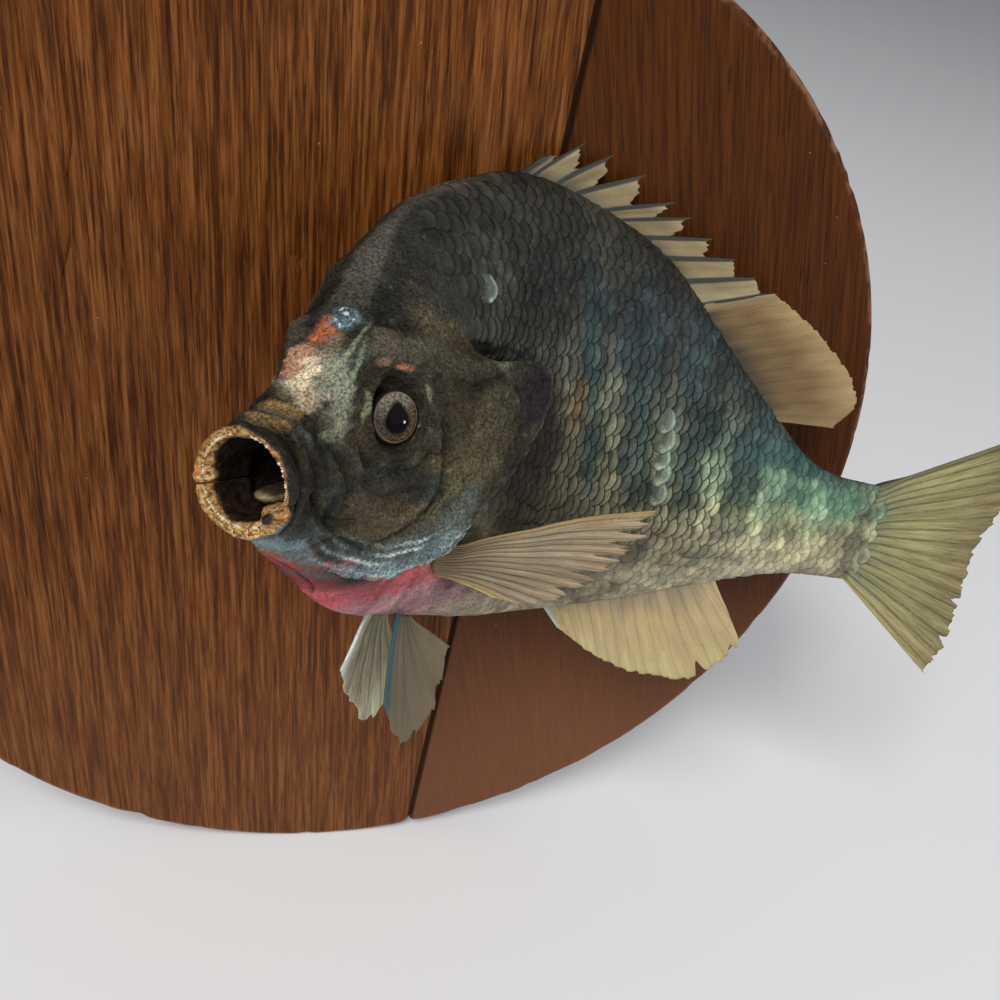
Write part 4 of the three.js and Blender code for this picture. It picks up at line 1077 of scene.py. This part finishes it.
def fin_mesh(root, tip, off, rays, ray_wall, fleshy, wear, tones, root_wall=1.3, tears=(), waves=0.5, seed=1,
             fork=0.5, notch=0.05):
    """A point at share u of the fin's width and v of its reach lies between root(u) and tip(u), which give
    station and height; off gives its distance to the left. The outer edge is set back by wear, by a cut that
    deepens from each ray to the next, and by each tear (share, half width, depth). Both faces stand off the
    middle by half the wall: thick at the fleshy root, thin in the membrane, raised at each ray. The tones are
    the colours at root, middle and tip and along the leading and trailing edge, and how grooved and spiny the
    fin is."""
    u, v = np.meshgrid(np.linspace(0, 1, rays * 10 + 1), np.linspace(0, 1, 40), indexing="ij")
    edge = u[:, :1]
    ragged = wear * (0.5 + 0.5 * value_noise(edge * rays * 1.3 + 3, edge * 0 + seed, seed))
    ragged += wear * 0.6 * np.abs(value_noise(edge * rays * 4.1 + 30, edge * 0 + seed, seed + 1))
    count_up = np.clip(edge * rays + 1e-9, 0, rays)
    gap = np.minimum(count_up.astype(int), rays - 1)
    behind = np.where(edge >= 1, 0, count_up - gap)
    cut = np.broadcast_to(np.asarray(notch, float), (rays,))[gap]
    ragged += cut * (0.25 * (behind > 0.05) + 0.75 * behind ** 1.4) * (
        1 + 0.15 * value_noise(edge * 90 + 5, edge * 0 + 5, seed))
    for share, half, depth in tears:
        ragged += depth * np.clip(1 - np.abs(edge - share) / half, 0, 1) ** 0.7
    reach = 1 - np.clip(ragged, 0, 0.85)
    w = v * reach

    def middle(u, w):
        """The middle of the membrane, straight from root to tip, set off to the left and gently waved."""
        s0, z0 = root(u)
        s1, z1 = tip(u)
        s = s0 + (s1 - s0) * w
        z = z0 + (z1 - z0) * w
        far = w * np.hypot(s1 - s0, z1 - z0)
        wave = waves * ease(0.15, 1, w) * (
            0.6 * value_noise(u * 5 + 11, w * 2 + 11, seed + 2) + 0.4 * np.sin(u * rays * np.pi * 0.5 + seed))
        p = place(s, off(s, z, far) + wave, z)
        p[..., 1] = np.minimum(p[..., 1], -(THICKNESS + 0.3 + root_wall / 2) * MM)
        return p

    nudge = 0.008
    points = middle(u, w)
    across = middle(np.minimum(u + nudge, 1), w) - middle(np.maximum(u - nudge, 0), w)
    along = middle(u, np.minimum(w + nudge, 1)) - middle(u, np.maximum(w - nudge, 0))
    normal = unit(np.cross(across, along))
    single = 2 * np.abs(rays * u - np.round(rays * u))
    double = 2 * np.abs(2 * rays * u - np.round(2 * rays * u))
    forked = ease(fork, fork + 0.3, w)
    groove = single * (1 - forked) + double * forked
    ridge = 1 - groove ** 1.6
    joints = 0.9 + 0.1 * np.cos(w * 110 + 4 * value_noise(u * 30, w * 3, seed + 3))
    wall = FIN_EDGE + (root_wall - FIN_EDGE) * (1 - ease(0, fleshy, w)) ** 1.5
    wall = wall + ray_wall * ridge * joints * (1 - 0.7 * w) * ease(0, 0.08, w)
    wall = wall * (1 - 0.6 * ease(0.93, 1, v))
    stand = normal * (wall / 2 * MM)[..., None]
    both_faces = np.stack([points + stand, points - stand]).reshape(-1, 3)
    lean = w + 0.10 * value_noise(u * rays * 1.1 + 9, w * 2 + 9, seed + 4)
    base, mid, end, first, last, dark = tones
    colour = lay(lay(base, mid, ease(0.02, 0.38, lean)), end, ease(0.5, 1.0, lean))
    colour = lay(colour, first, 0.9 * (1 - ease(0.35, 0.9, u * rays)))
    colour = lay(colour, last, 0.8 * (1 - ease(0.3, 1.6, (1 - u) * rays)))
    streak = (0.22 - 0.12 * (0.4 < dark < 0.8)) * value_noise(u * rays * 1.7 + 13, w * 2.2 + 13, seed + 5)
    streak = streak + 0.08 * value_noise(u * rays * 5 + 3, w * 5 + 3, seed + 6)
    colour = np.clip(colour * (1 + streak[..., None]), 0.003, 1)
    colour = np.concatenate([colour, np.full((*u.shape, 1), dark)], -1).reshape(-1, 4)
    maps = [("fin", np.tile(pairs(u * rays / 20, w), (2, 1))), ("ray", np.tile(pairs(single, double), (2, 1)))]
    return both_faces, slab_faces(*u.shape), maps, np.tile(colour, (2, 1))


def line(knots, stations, heights):
    """Station and height along a smooth line, at a share of it."""
    return lambda u: (smooth(knots, stations, u), smooth(knots, heights, u))


FIN_SUNK = 1.3


def edge_root(start, end, height, sign):
    """A fin's root line along the edge of the back, with sign 1, or of the belly, with sign -1."""
    def root(u):
        s = start + (end - start) * u
        return s, sign * (height(s) - FIN_SUNK)
    return root


def on_midline(s, z, far):
    """The unpaired fins stand on the middle of the body, nowhere to its left or right."""
    return s * 0


fin_skin, t = new_material("dried_fin")
over_fin, out_fin, _ = t.parts(t.uv("fin"))
from_ray, from_twig, _ = t.parts(t.uv("ray"))
colour, dark = painted(t)
fine = t.noise(t.coordinates(), 1300, 4, 0.6)
drawn_out = t.add("ShaderNodeCombineXYZ", None, X=t.times(over_fin, 130.0), Y=t.times(out_fin, 5.0)).outputs[0]
fibre = t.noise(drawn_out, 1.0, 4, 0.6)
# Grooves between the rays, and between their twigs in the outer half.
twigs = t.times(t.times(t.spread(from_twig, 0.6, 0.95), t.spread(out_fin, 0.5, 0.75)), 0.6)
groove = t.times(t.maths("MAXIMUM", t.spread(from_ray, 0.62, 0.95), twigs), t.spread(fine, 0.25, 0.55, 0.55, 1.0))
calm = t.minus(1.0, t.times(t.spread(dark, 0.40, 0.50), 0.75))
colour = t.dye(t.times(calm, t.spread(fibre, 0.58, 0.36)), colour, (0.70, 0.66, 0.58))
colour = t.dye(t.times(calm, t.spread(fibre, 0.58, 0.76)), colour, (1.35, 1.30, 1.22))
faint = t.minus(0.68, t.times(t.spread(dark, 0.25, 0.6), 0.56))
colour = t.dye(t.times(groove, faint), colour, (0.30, 0.25, 0.20))
# The spines of the spiny dorsal are painted dark, with painted shade on the membrane to each side of them.
spine = t.times(t.spread(from_ray, 0.34, 0.16), t.spread(dark, 0.75, 1.0))
colour = t.mix(t.times(spine, 0.92), colour, (0.020, 0.026, 0.026))
colour = t.mix(t.times(t.spread(fine, 0.60, 0.75), 0.35), colour, (0.050, 0.040, 0.026))
height = t.minus(t.plus(t.times(fine, 0.4), t.times(fibre, 0.7)), t.times(t.times(groove, calm), 0.8))
t.shade(Base_Color=colour, Roughness=t.plus(0.42, t.times(fine, 0.2)), Normal=t.bump(height, 0.0003, 0.7),
        Coat_Weight=0.04, Coat_Roughness=0.3, Specular_IOR_Level=0.2)


def add_fin(name, root, tip, off, **shape):
    """Makes one fin that stands for the solid of the same name."""
    fin = add_mesh(name + "_membrane", *fin_mesh(root, tip, off, **shape), material=fin_skin)
    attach(fin, "root")
    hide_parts(name)


def pectoral_off(side):
    """The pectorals stand off the flank a little more towards their tips."""
    def off(s, z, far):
        flank = trunk_width(s, z) * crossing(s, z)
        return side * (np.maximum(flank, 4) - 0.5 + 1.2 * ease(0, 4, far) + 0.16 * far)
    return off


def pelvic_off(side):
    """The pelvics start near the middle of the belly and spread a little."""
    return lambda s, z, far: side * (1.8 + 0.12 * far)


SPINE_NUMBER = np.arange(10) / 9
SPINE_ROOTS = [38.4, 40.2, 43.2, 45.4, 48.8, 50.6, 53.9, 57.6, 61.3, 64.8]


def spiny_root(u):
    """The roots of the spines, unevenly spaced along the back."""
    share = np.linspace(0, 1, 91)
    s = np.interp(u, share, smooth(SPINE_NUMBER, SPINE_ROOTS, share))
    return s, back_height(s) - FIN_SUNK


add_fin("spiny_dorsal_fin", spiny_root,
        line(SPINE_NUMBER, [42.2, 46.2, 49.6, 53.4, 57.8, 60.2, 63.8, 67.8, 71.4, 74.6],
             [33.6, 36.4, 36.3, 35.2, 33.6, 32.6, 31.2, 29.9, 28.7, 27.7]),
        on_midline, rays=9, root_wall=1.5, fleshy=0.3, ray_wall=0.5, wear=0.02, waves=0.35, seed=51, fork=2,
        tones=((0.07, 0.06, 0.04), (0.21, 0.165, 0.085), (0.36, 0.30, 0.16), (0.025, 0.03, 0.03),
               (0.30, 0.25, 0.14), 1.0),
        notch=[0.55, 0.6, 0.6, 0.55, 0.55, 0.5, 0.42, 0.28, 0.18])
add_fin("soft_dorsal_fin", edge_root(64.6, 81, back_height, 1),
        line([0, 0.2, 0.4, 0.6, 0.78, 0.9, 1], [74.6, 79.2, 83.4, 87.8, 90.8, 92.6, 90.8],
             [27.7, 26.4, 24.6, 22.2, 19.6, 17, 13.6]),
        on_midline, rays=11, root_wall=1.5, fleshy=0.4, ray_wall=0.22, wear=0.02, seed=52, notch=0.03,
        tones=((0.045, 0.034, 0.022), (0.15, 0.098, 0.042), (0.32, 0.225, 0.105), (0.24, 0.19, 0.10),
               (0.20, 0.14, 0.07), 0.7),
        tears=[(1.0, 0.12, 0.08)])
add_fin("anal_fin", edge_root(60.5, 81.5, belly_depth, -1),
        line([0, 0.15, 0.35, 0.55, 0.7, 0.82, 0.92, 1], [64.6, 68, 73.4, 79, 84.4, 87.6, 89, 86.2],
             [-22.6, -24.2, -26.3, -26.8, -26, -22.8, -19.6, -15.6]),
        on_midline, rays=16, root_wall=1.5, fleshy=0.4, ray_wall=0.24, wear=0.03, seed=53, notch=0.03,
        tones=((0.24, 0.20, 0.13), (0.40, 0.31, 0.155), (0.44, 0.37, 0.18), (0.40, 0.48, 0.40),
               (0.42, 0.32, 0.16), 0.5),
        tears=[(0.74, 0.018, 0.14), (0.88, 0.02, 0.10)])
add_fin("tail_fin", lambda u: (99.4 + 0 * u, 6.9 - 13.9 * u),
        line([0, 0.2, 0.4, 0.5, 0.6, 0.8, 1], [119.6, 119.6, 117.8, 117.3, 117.4, 118.3, 117.2],
             [19.2, 12.5, 5.2, 1, -3.6, -11.5, -20]),
        on_midline, rays=17, root_wall=3.0, fleshy=0.24, ray_wall=0.26, wear=0.03, seed=54, notch=0.03,
        tones=((0.20, 0.22, 0.13), (0.27, 0.25, 0.115), (0.24, 0.20, 0.095), (0.14, 0.13, 0.07),
               (0.34, 0.29, 0.13), 0.35),
        tears=[(0.71, 0.012, 0.08), (0.86, 0.012, 0.06)])
PECTORAL_KNOTS = [0, 0.15, 0.3, 0.45, 0.6, 0.75, 0.9, 1]
pectoral_root = line([0, 0.5, 1], [34.0, 33.4, 35.2], [-12.2, -13.6, -15.2])
add_fin("pectoral_fin_left", pectoral_root,
        line(PECTORAL_KNOTS, [66.3, 66.6, 65.4, 64.4, 62.8, 59, 53.4, 46],
             [0.2, -3, -5.6, -8.6, -12, -14.9, -17.3, -17.2]),
        pectoral_off(1), rays=13, fleshy=0.3, ray_wall=0.30, wear=0.04, waves=0.3, seed=55,
        tones=((0.24, 0.17, 0.10), (0.28, 0.23, 0.15), (0.36, 0.28, 0.18), (0.42, 0.30, 0.14),
               (0.56, 0.40, 0.16), 0.2),
        tears=[(0.13, 0.02, 0.09), (0.24, 0.025, 0.12), (0.37, 0.02, 0.13), (0.52, 0.03, 0.15), (0.68, 0.03, 0.09)])
add_fin("pectoral_fin_right", pectoral_root,
        line(PECTORAL_KNOTS, [56, 57.4, 57.8, 57.4, 56.2, 53.6, 49.6, 44.6],
             [-8.4, -10.4, -12.4, -14.4, -16.4, -18, -19, -18.6]),
        pectoral_off(-1), rays=13, fleshy=0.3, ray_wall=0.30, wear=0.05, waves=0.2, seed=56,
        tones=((0.24, 0.16, 0.085), (0.21, 0.165, 0.105), (0.30, 0.22, 0.13), (0.36, 0.25, 0.11),
               (0.42, 0.29, 0.11), 0.0))
PELVIC_KNOTS = [0, 0.2, 0.4, 0.6, 0.8, 1]
pelvic_root = line([0, 1], [31.6, 34.6], [-20.4, -21.2])
add_fin("pelvic_fin_left", pelvic_root,
        line(PELVIC_KNOTS, [28.4, 32.4, 38.4, 44, 45.6, 45.4], [-30.5, -35.2, -37.6, -35.2, -31, -25.6]),
        pelvic_off(1), rays=6, fleshy=0.3, ray_wall=0.36, wear=0.04, waves=0.3, seed=57,
        tones=((0.10, 0.08, 0.050), (0.130, 0.100, 0.060), (0.15, 0.112, 0.066), (0.028, 0.085, 0.10),
               (0.15, 0.12, 0.07), 0.6),
        tears=[(0.75, 0.05, 0.10)])
# Far paler tones than the left pelvic's: painted light on this fin, which lies in the body's shade.
add_fin("pelvic_fin_right", pelvic_root,
        line(PELVIC_KNOTS, [27, 30, 34.5, 40, 42.6, 42], [-28, -31.5, -35, -39, -36, -29]),
        pelvic_off(-1), rays=6, fleshy=0.3, ray_wall=0.36, wear=0.04, waves=0.3, seed=58,
        tones=((0.40, 0.40, 0.28), (0.46, 0.43, 0.29), (0.50, 0.46, 0.32), (0.80, 0.88, 0.80),
               (0.40, 0.36, 0.22), 0.4))

# ---- The jaws: a dried ring of bone and lip round the open mouth, parted at its corners ----
# The lips have shrunk to a crumbling cream and ochre rim, dark outside and brown within; the lower lip
# opens into a hollow at each corner, where the jaw bone shows. Small blunt teeth stand along the upper rim.
JAW_AT = [-2.8, -2.2, -1.1, 0.2, 1.6, 3.4]
JAW_HALF_HEIGHT = [4.9, 5.0, 4.8, 4.5, 4.2, 3.9]
JAW_HALF_WIDTH = [4.75, 4.8, 4.55, 4.2, 3.85, 3.5]
JAW_ROOT = 3.4
JAW_LENGTH = 6.2
LIP_TILT = 0.8
LIP_TURN = 0.5
# The loop round the jaw's wall: station, and share of the wall's thickness inwards.
JAW_LOOP = np.array([
    (3.4, 0), (2.5, 0), (1.6, 0), (0.9, 0), (0.2, 0), (-0.5, 0), (-1.1, 0), (-1.6, 0.01), (-2.02, 0.04),
    (-2.26, 0.12), (-2.40, 0.25), (-2.44, 0.42), (-2.40, 0.6), (-2.26, 0.78), (-2.0, 0.92), (-1.6, 0.99),
    (-1, 1), (-0.2, 1), (0.7, 1), (1.6, 1), (2.5, 1), (3.4, 1)])


def jaw_point(degrees, s, depth):
    """A point of the jaw ring at an angle and station, so deep inside its outer surface, in hundredths. The
    square of its share of the jaw's length tilts the lip forward below and turns it back on the left."""
    angle = np.radians(degrees)
    reach = ((JAW_ROOT - s) / JAW_LENGTH) ** 2
    half_width = smooth(JAW_AT, JAW_HALF_WIDTH, s) - depth
    half_height = smooth(JAW_AT, JAW_HALF_HEIGHT, s) - depth
    moved = s - LIP_TILT * reach * np.sin(angle) + LIP_TURN * reach * (1 + np.cos(angle))
    return place(moved, half_width * np.cos(angle), MOUTH_HEIGHT + half_height * np.sin(angle))


def jaw_mesh(start, end, wall_at, walls, seed):
    """A closed loop carried round the mouth from one angle to another: along the outside to the lip, over it
    and back inside, as thick as the wall there. Its surface is crumbled by noise, most of all on the lip."""
    way = np.linspace(0, 1, len(JAW_LOOP))
    q = np.linspace(0, 1, 74)
    loop_s, loop_w = [smooth(way, values, q) for values in JAW_LOOP.T]
    degrees = np.linspace(start, end, int((end - start) * 1.5))
    angle, part = np.meshgrid(degrees, np.arange(len(q)), indexing="ij")
    s, w = loop_s[part], loop_w[part]
    wall = np.interp(angle, wall_at, walls)
    wall = 0.6 + (wall - 0.6) * ease(2.5, -1.5, s)
    points = jaw_point(angle, s, wall * w)
    normal = -normals_of(points)
    lip = ease(0.22, 0.36, q[part]) * (1 - ease(0.72, 0.85, q[part]))
    ends = ease(0, 5, angle - start) * ease(0, 5, end - angle)
    around, across = angle * 0.07, q[part] * 15
    grains = np.abs(value_noise(around / 0.34 + 40, across / 0.6 + 40, seed)) - 0.3
    grains = grains + 0.6 * value_noise(around / 0.17 + 40, across / 0.3 + 40, seed + 1)
    folds = value_noise(around / 3.2 + 40, across / 1.5 + 40, seed + 2)
    gnawed = value_noise(around / 1.1 + 60, across * 0 + 60, seed + 3)
    hollow = np.exp(-((angle + 34 - 360 * (start > 90)) / 13) ** 2) * np.exp(-((w - 0.5) / 0.22) ** 2) * lip
    rise = 0.24 * grains * lip + 0.18 * folds * (1 - 0.5 * lip) + (0.3 * gnawed - 0.1) * lip
    rise = (rise - 2.0 * hollow - 0.22) * ends
    rise = np.minimum(rise, 0.12 + 0.3 * np.maximum(rise - 0.12, 0))
    points = points + normal * (rise * MM)[..., None]
    maps = [("jaw", pairs(q[part], angle / 360)), ("bits", pairs(np.clip(grains * 0.5 + 0.5, 0, 1), hollow))]
    return points.reshape(-1, 3), tube_faces(*points.shape[:2])[:, ::-1], maps


lip_paint, t = new_material("crumbled_lip")
round_wall, round_mouth, _ = t.parts(t.uv("jaw"))
grainy, hollowed, _ = t.parts(t.uv("bits"))
spot = t.coordinates()
crumbly = t.noise(spot, 700, 5, 0.65)
speck = t.noise(spot, 1500, 3, 0.6)
q = t.plus(round_wall, t.times(t.minus(t.noise(spot, 420, 4), 0.5), 0.16))
crumbs = t.ramp(t.plus(t.times(grainy, 0.55), t.times(speck, 0.5)), (
    (0.28, (0.025, 0.014, 0.008)), (0.42, (0.20, 0.090, 0.022)), (0.56, (0.44, 0.26, 0.085)),
    (0.76, (0.66, 0.54, 0.31))))
crumbs, stained = mottled(t, Colour=crumbs, Vector=spot, Scale=210, Detail=3, Roughness=0.5, Low=0.44, High=0.60,
                          Strength=0.55, Dark=(1, 1, 1), Light=(0.55, 0.34, 0.16), Share=1)
bitten = t.times(t.spread(round_mouth, 0.465, 0.50), t.spread(round_mouth, 0.60, 0.56))
crumbs = t.mix(t.times(t.times(bitten, stained), 0.65), crumbs, (0.62, 0.22, 0.075))
# Dark paint outside, pale under the chin; the crumbs begin lower down on the bare left rim; brown within.
outer = t.mix(t.spread(crumbly, 0.38, 0.70), (0.007, 0.006, 0.005), (0.032, 0.027, 0.018))
chin = t.mix(t.spread(crumbly, 0.4, 0.62), (0.030, 0.040, 0.048), (0.20, 0.30, 0.34))
outer = t.mix(t.times(t.spread(round_mouth, 0.53, 0.58), t.spread(round_mouth, 0.97, 0.90)), outer, chin)
bare_rim = t.times(t.spread(round_mouth, 0.40, 0.24), 0.11)
colour = t.mix(t.spread(t.minus(q, bare_rim), 0.36, 0.43), outer, crumbs)
inner = t.mix(t.spread(crumbly, 0.35, 0.7), (0.005, 0.003, 0.002), (0.026, 0.014, 0.008))
colour = t.mix(t.spread(q, 0.70, 0.76), colour, inner)
colour = t.mix(t.spread(hollowed, 0.25, 0.7), colour, (0.016, 0.010, 0.007))
t.shade(Base_Color=colour, Roughness=t.plus(0.42, t.times(speck, 0.3)), Specular_IOR_Level=0.2,
        Normal=t.bump(t.plus(crumbly, t.times(speck, 0.5)), 0.0005, 0.8), Coat_Weight=0.05, Coat_Roughness=0.3)
# For each jaw: first and last angle, and the wall's thickness at angles between them.
for node, start, end, wall_at, walls, seed in (
        ("upper_jaw", -12, 192, [-12, 10, 60, 100, 140, 165, 192], [0.55, 0.42, 0.42, 0.6, 0.85, 1.3, 1.2], 61),
        ("lower_jaw", 195, 345, [195, 215, 250, 290, 320, 345], [1.1, 0.8, 0.75, 1.1, 1.8, 0.9], 64)):
    jaw = add_mesh(node + "_bone", *jaw_mesh(start, end, wall_at, walls, seed), material=lip_paint)
    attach(jaw, "root")
    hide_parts(node)


def bead_mesh(places, radii, ways):
    """Small blunt teeth: each a sphere of rings and sides drawn out along its own way, with closed poles."""
    sides, rings = 8, 5
    turn = np.arange(sides) / sides * 2 * np.pi
    rise = np.linspace(-0.97, 0.97, rings)[:, None]
    wide = np.sqrt(1 - rise ** 2)
    ball = np.stack([np.cos(turn) * wide, np.sin(turn) * wide, 1.5 * rise + 0 * turn], -1).reshape(-1, 3)
    side = unit(np.cross(ways, [0.3, 0.2, 0.9]))
    axes = np.stack([side, np.cross(ways, side), ways], 1)
    points = places[:, None] + ball @ axes * radii[:, None, None]
    first = np.arange(len(places))[:, None, None] * rings * sides
    return points.reshape(-1, 3), (tube_faces(rings, sides)[None] + first).reshape(-1, 4)


random = np.random.default_rng(71)
tooth_angle = np.concatenate([np.arange(-10, 190, 3.1), np.arange(200, 342, 4.5)])
tooth_count = len(tooth_angle)
tooth_angle += random.uniform(-0.8, 0.8, tooth_count)
tooth_wall = np.interp(tooth_angle, [-12, 60, 140, 192, 215, 345], [0.45, 0.42, 0.7, 1.0, 0.75, 0.9])
tooth_root = jaw_point(tooth_angle, np.full(tooth_count, -2.15), tooth_wall)
tooth_way = unit(jaw_point(tooth_angle, np.full(tooth_count, -2.45), tooth_wall + 0.12) - tooth_root)
tooth_bone, t = new_material("tooth_bone")
spot = t.coordinates()
ivory = t.mix(t.spread(t.noise(spot, 900, 3), 0.35, 0.65), (0.40, 0.27, 0.12), (0.70, 0.62, 0.42))
t.shade(Base_Color=ivory, Roughness=0.4, Normal=t.bump(t.noise(spot, 3000, 2), 0.0001, 0.5))
tooth_size = random.uniform(0.22, 0.42, tooth_count) * MM
teeth = add_mesh("teeth", *bead_mesh(tooth_root, tooth_size, tooth_way), material=tooth_bone)
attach(teeth, "root")

# ---- The tongue: a small dried pad low in the mouth ----
# Leathery and dark, with a pale worn outline; it lies free of the jaw ring.
TONGUE_AT = [0.4, 0.9, 2.2, 4, 6, 8.2]
TONGUE_WIDTH = [0.3, 0.9, 1.25, 1.35, 1.3, 0.9]
TONGUE_HEIGHT = [0.18, 0.48, 0.72, 0.78, 0.78, 0.54]


def tongue_mesh():
    """Oval rings along the mouth, shrinking to a rounded tip, with a furrow down the middle."""
    turn = np.linspace(0, 2 * np.pi, 33)[:-1]
    stations = 0.42 + 7.7 * (1 - np.cos(np.linspace(0, np.pi, 30))) / 2
    s, a = np.meshgrid(stations, turn, indexing="ij")
    end = np.sqrt(np.clip((s - 0.40) / 0.9, 0.03, 1)) * np.sqrt(np.clip((8.2 - s) / 0.8, 0.03, 1))
    wide = smooth(TONGUE_AT, TONGUE_WIDTH, s) * end
    tall = smooth(TONGUE_AT, TONGUE_HEIGHT, s) * end
    furrow = 0.12 * np.exp(-(np.cos(a) / 0.22) ** 2) * (np.sin(a) > 0)
    bumps = 0.08 * value_noise(s * 2, a * 2 + 9, 75)
    points = place(s, 0.3 + wide * np.cos(a), -2.3 + tall * (np.sin(a) - furrow + bumps))
    return points.reshape(-1, 3), tube_faces(*s.shape)[:, ::-1], [("edge", pairs(np.abs(np.cos(a)), s / 9))]


tongue_skin, t = new_material("dried_tongue")
to_side, to_root, _ = t.parts(t.uv("edge"))
mottle = t.noise(t.coordinates(), 800, 4, 0.6)
outline = t.times(t.spread(to_side, 0.72, 0.97), t.spread(mottle, 0.35, 0.6))
outline = t.maths("MAXIMUM", outline, t.spread(to_root, 0.16, 0.06))
leather = t.mix(mottle, (0.025, 0.015, 0.008), (0.065, 0.045, 0.022))
t.shade(Base_Color=t.mix(outline, leather, (0.26, 0.19, 0.10)), Roughness=0.45, Normal=t.bump(mottle, 0.0003, 0.7))
tongue = add_mesh("tongue_pad", *tongue_mesh(), material=tongue_skin)
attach(tongue, "root")
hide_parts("tongue")

# ---- The eyes: domed glass, painted from behind, sunk in the orbits ----
# A dark tapering pupil lies low in a silvery iris that turns brassy below and behind, with a pale rim.
# The glass is one clear glossy coat over the painted dome.
EYE_DROP = 0.45
EYE_RADIUS = 4.5
EYE_FACE = 0.45


def eye_mesh(side):
    """A dome of rings about the eye's axis: radius by the sine and height by the cosine of an angle, over a
    rounded back. The map holds the place on the eye's face, ahead and up, as if its radius were 0.45."""
    centre, out, up, ahead = eye_frame(side)
    centre = centre - up * EYE_DROP * MM
    lift = np.linspace(0.02, np.pi / 2, 26)
    profile_r = np.concatenate([EYE_RADIUS * np.sin(lift), [4.4, 4.0, 3.2, 1.9, 0.3]])
    profile_h = np.concatenate([-1.5 + 1.9 * np.cos(lift), [-2.1, -2.5, -2.9, -3.1, -3.15]])
    r, a = np.meshgrid(profile_r, np.arange(64) / 64 * 2 * np.pi, indexing="ij")
    x, y = r * np.cos(a), r * np.sin(a)
    h = profile_h[:, None] + 0 * a
    points = centre + (x[..., None] * ahead + y[..., None] * up + h[..., None] * out) * MM
    face_map = pairs(x, y) * EYE_FACE / EYE_RADIUS
    return points.reshape(-1, 3), tube_faces(*r.shape)[:, ::-side], [("eye", face_map)]


glass, t = new_material("painted_glass_eye")
face = t.vector("SCALE", t.uv("eye"), Scale=10.0)[0]
jitter = t.add("ShaderNodeTexNoise", None, Vector=face, Scale=1.6, Detail=3.0).outputs["Color"]
jitter = t.vector("SCALE", t.vector("SUBTRACT", jitter, _1=(0.5, 0.5, 0.5))[0], Scale=0.55)[0]
x, y, _ = t.parts(t.vector("ADD", face, _1=jitter)[0])
far = t.vector("LENGTH", face)["Value"]
pupil_x = t.maths("DIVIDE", t.plus(x, 0.25), t.times(t.spread(y, 2.8, -1.2, 0.60, 1.0), 2.2))
pupil_y = t.maths("DIVIDE", t.plus(y, 0.05), 2.45)
pupil_far = t.maths("SQRT", t.plus(t.times(pupil_x, pupil_x), t.times(pupil_y, pupil_y)))
low_behind = t.spread(t.plus(t.times(x, 0.8), t.times(y, -0.7)), -0.6, 2.8)
silver = t.mix(t.spread(y, -1.0, 3.6), (0.085, 0.074, 0.056), (0.25, 0.225, 0.165))
iris = t.mix(low_behind, silver, (0.085, 0.052, 0.020))
fibres = t.spread(t.noise(face, 2.2, 5, 0.7), 0.42, 0.62)
iris = t.mix(fibres, t.mix(0.78, iris, (0.012, 0.009, 0.006)), iris)
flecks = t.times(t.spread(t.noise(face, 3.4, 2), 0.60, 0.68), low_behind)
iris = t.mix(flecks, iris, (0.40, 0.26, 0.15))
iris = t.mix(t.times(t.spread(far, 3.75, 3.95), 0.6), iris, (0.20, 0.155, 0.115))
iris = t.mix(t.spread(far, 3.95, 4.15), iris, (0.018, 0.012, 0.009))
iris = t.mix(t.times(t.spread(pupil_far, 1.30, 1.02), 0.8), iris, (0.020, 0.016, 0.012))
eye_colour = t.mix(t.spread(pupil_far, 1.06, 0.94), iris, (0.004, 0.003, 0.004))
# A small cream spot beside the pupil: a painted catchlight, the glint of a light in the glass.
catchlight_far = t.vector("DISTANCE", face, _1=(1.0, -0.7, 0))["Value"]
eye_colour = t.mix(t.spread(catchlight_far, 0.30, 0.14), eye_colour, (0.60, 0.58, 0.54))
t.shade(Base_Color=eye_colour, Roughness=0.45, Coat_Weight=0.035, Coat_Roughness=0.05, Coat_IOR=1.5,
        Specular_IOR_Level=0.01)
for word, side in (("left", 1), ("right", -1)):
    eye = add_mesh("glass_eye_" + word, *eye_mesh(side), material=glass)
    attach(eye, "root")
    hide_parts("eye_" + word)
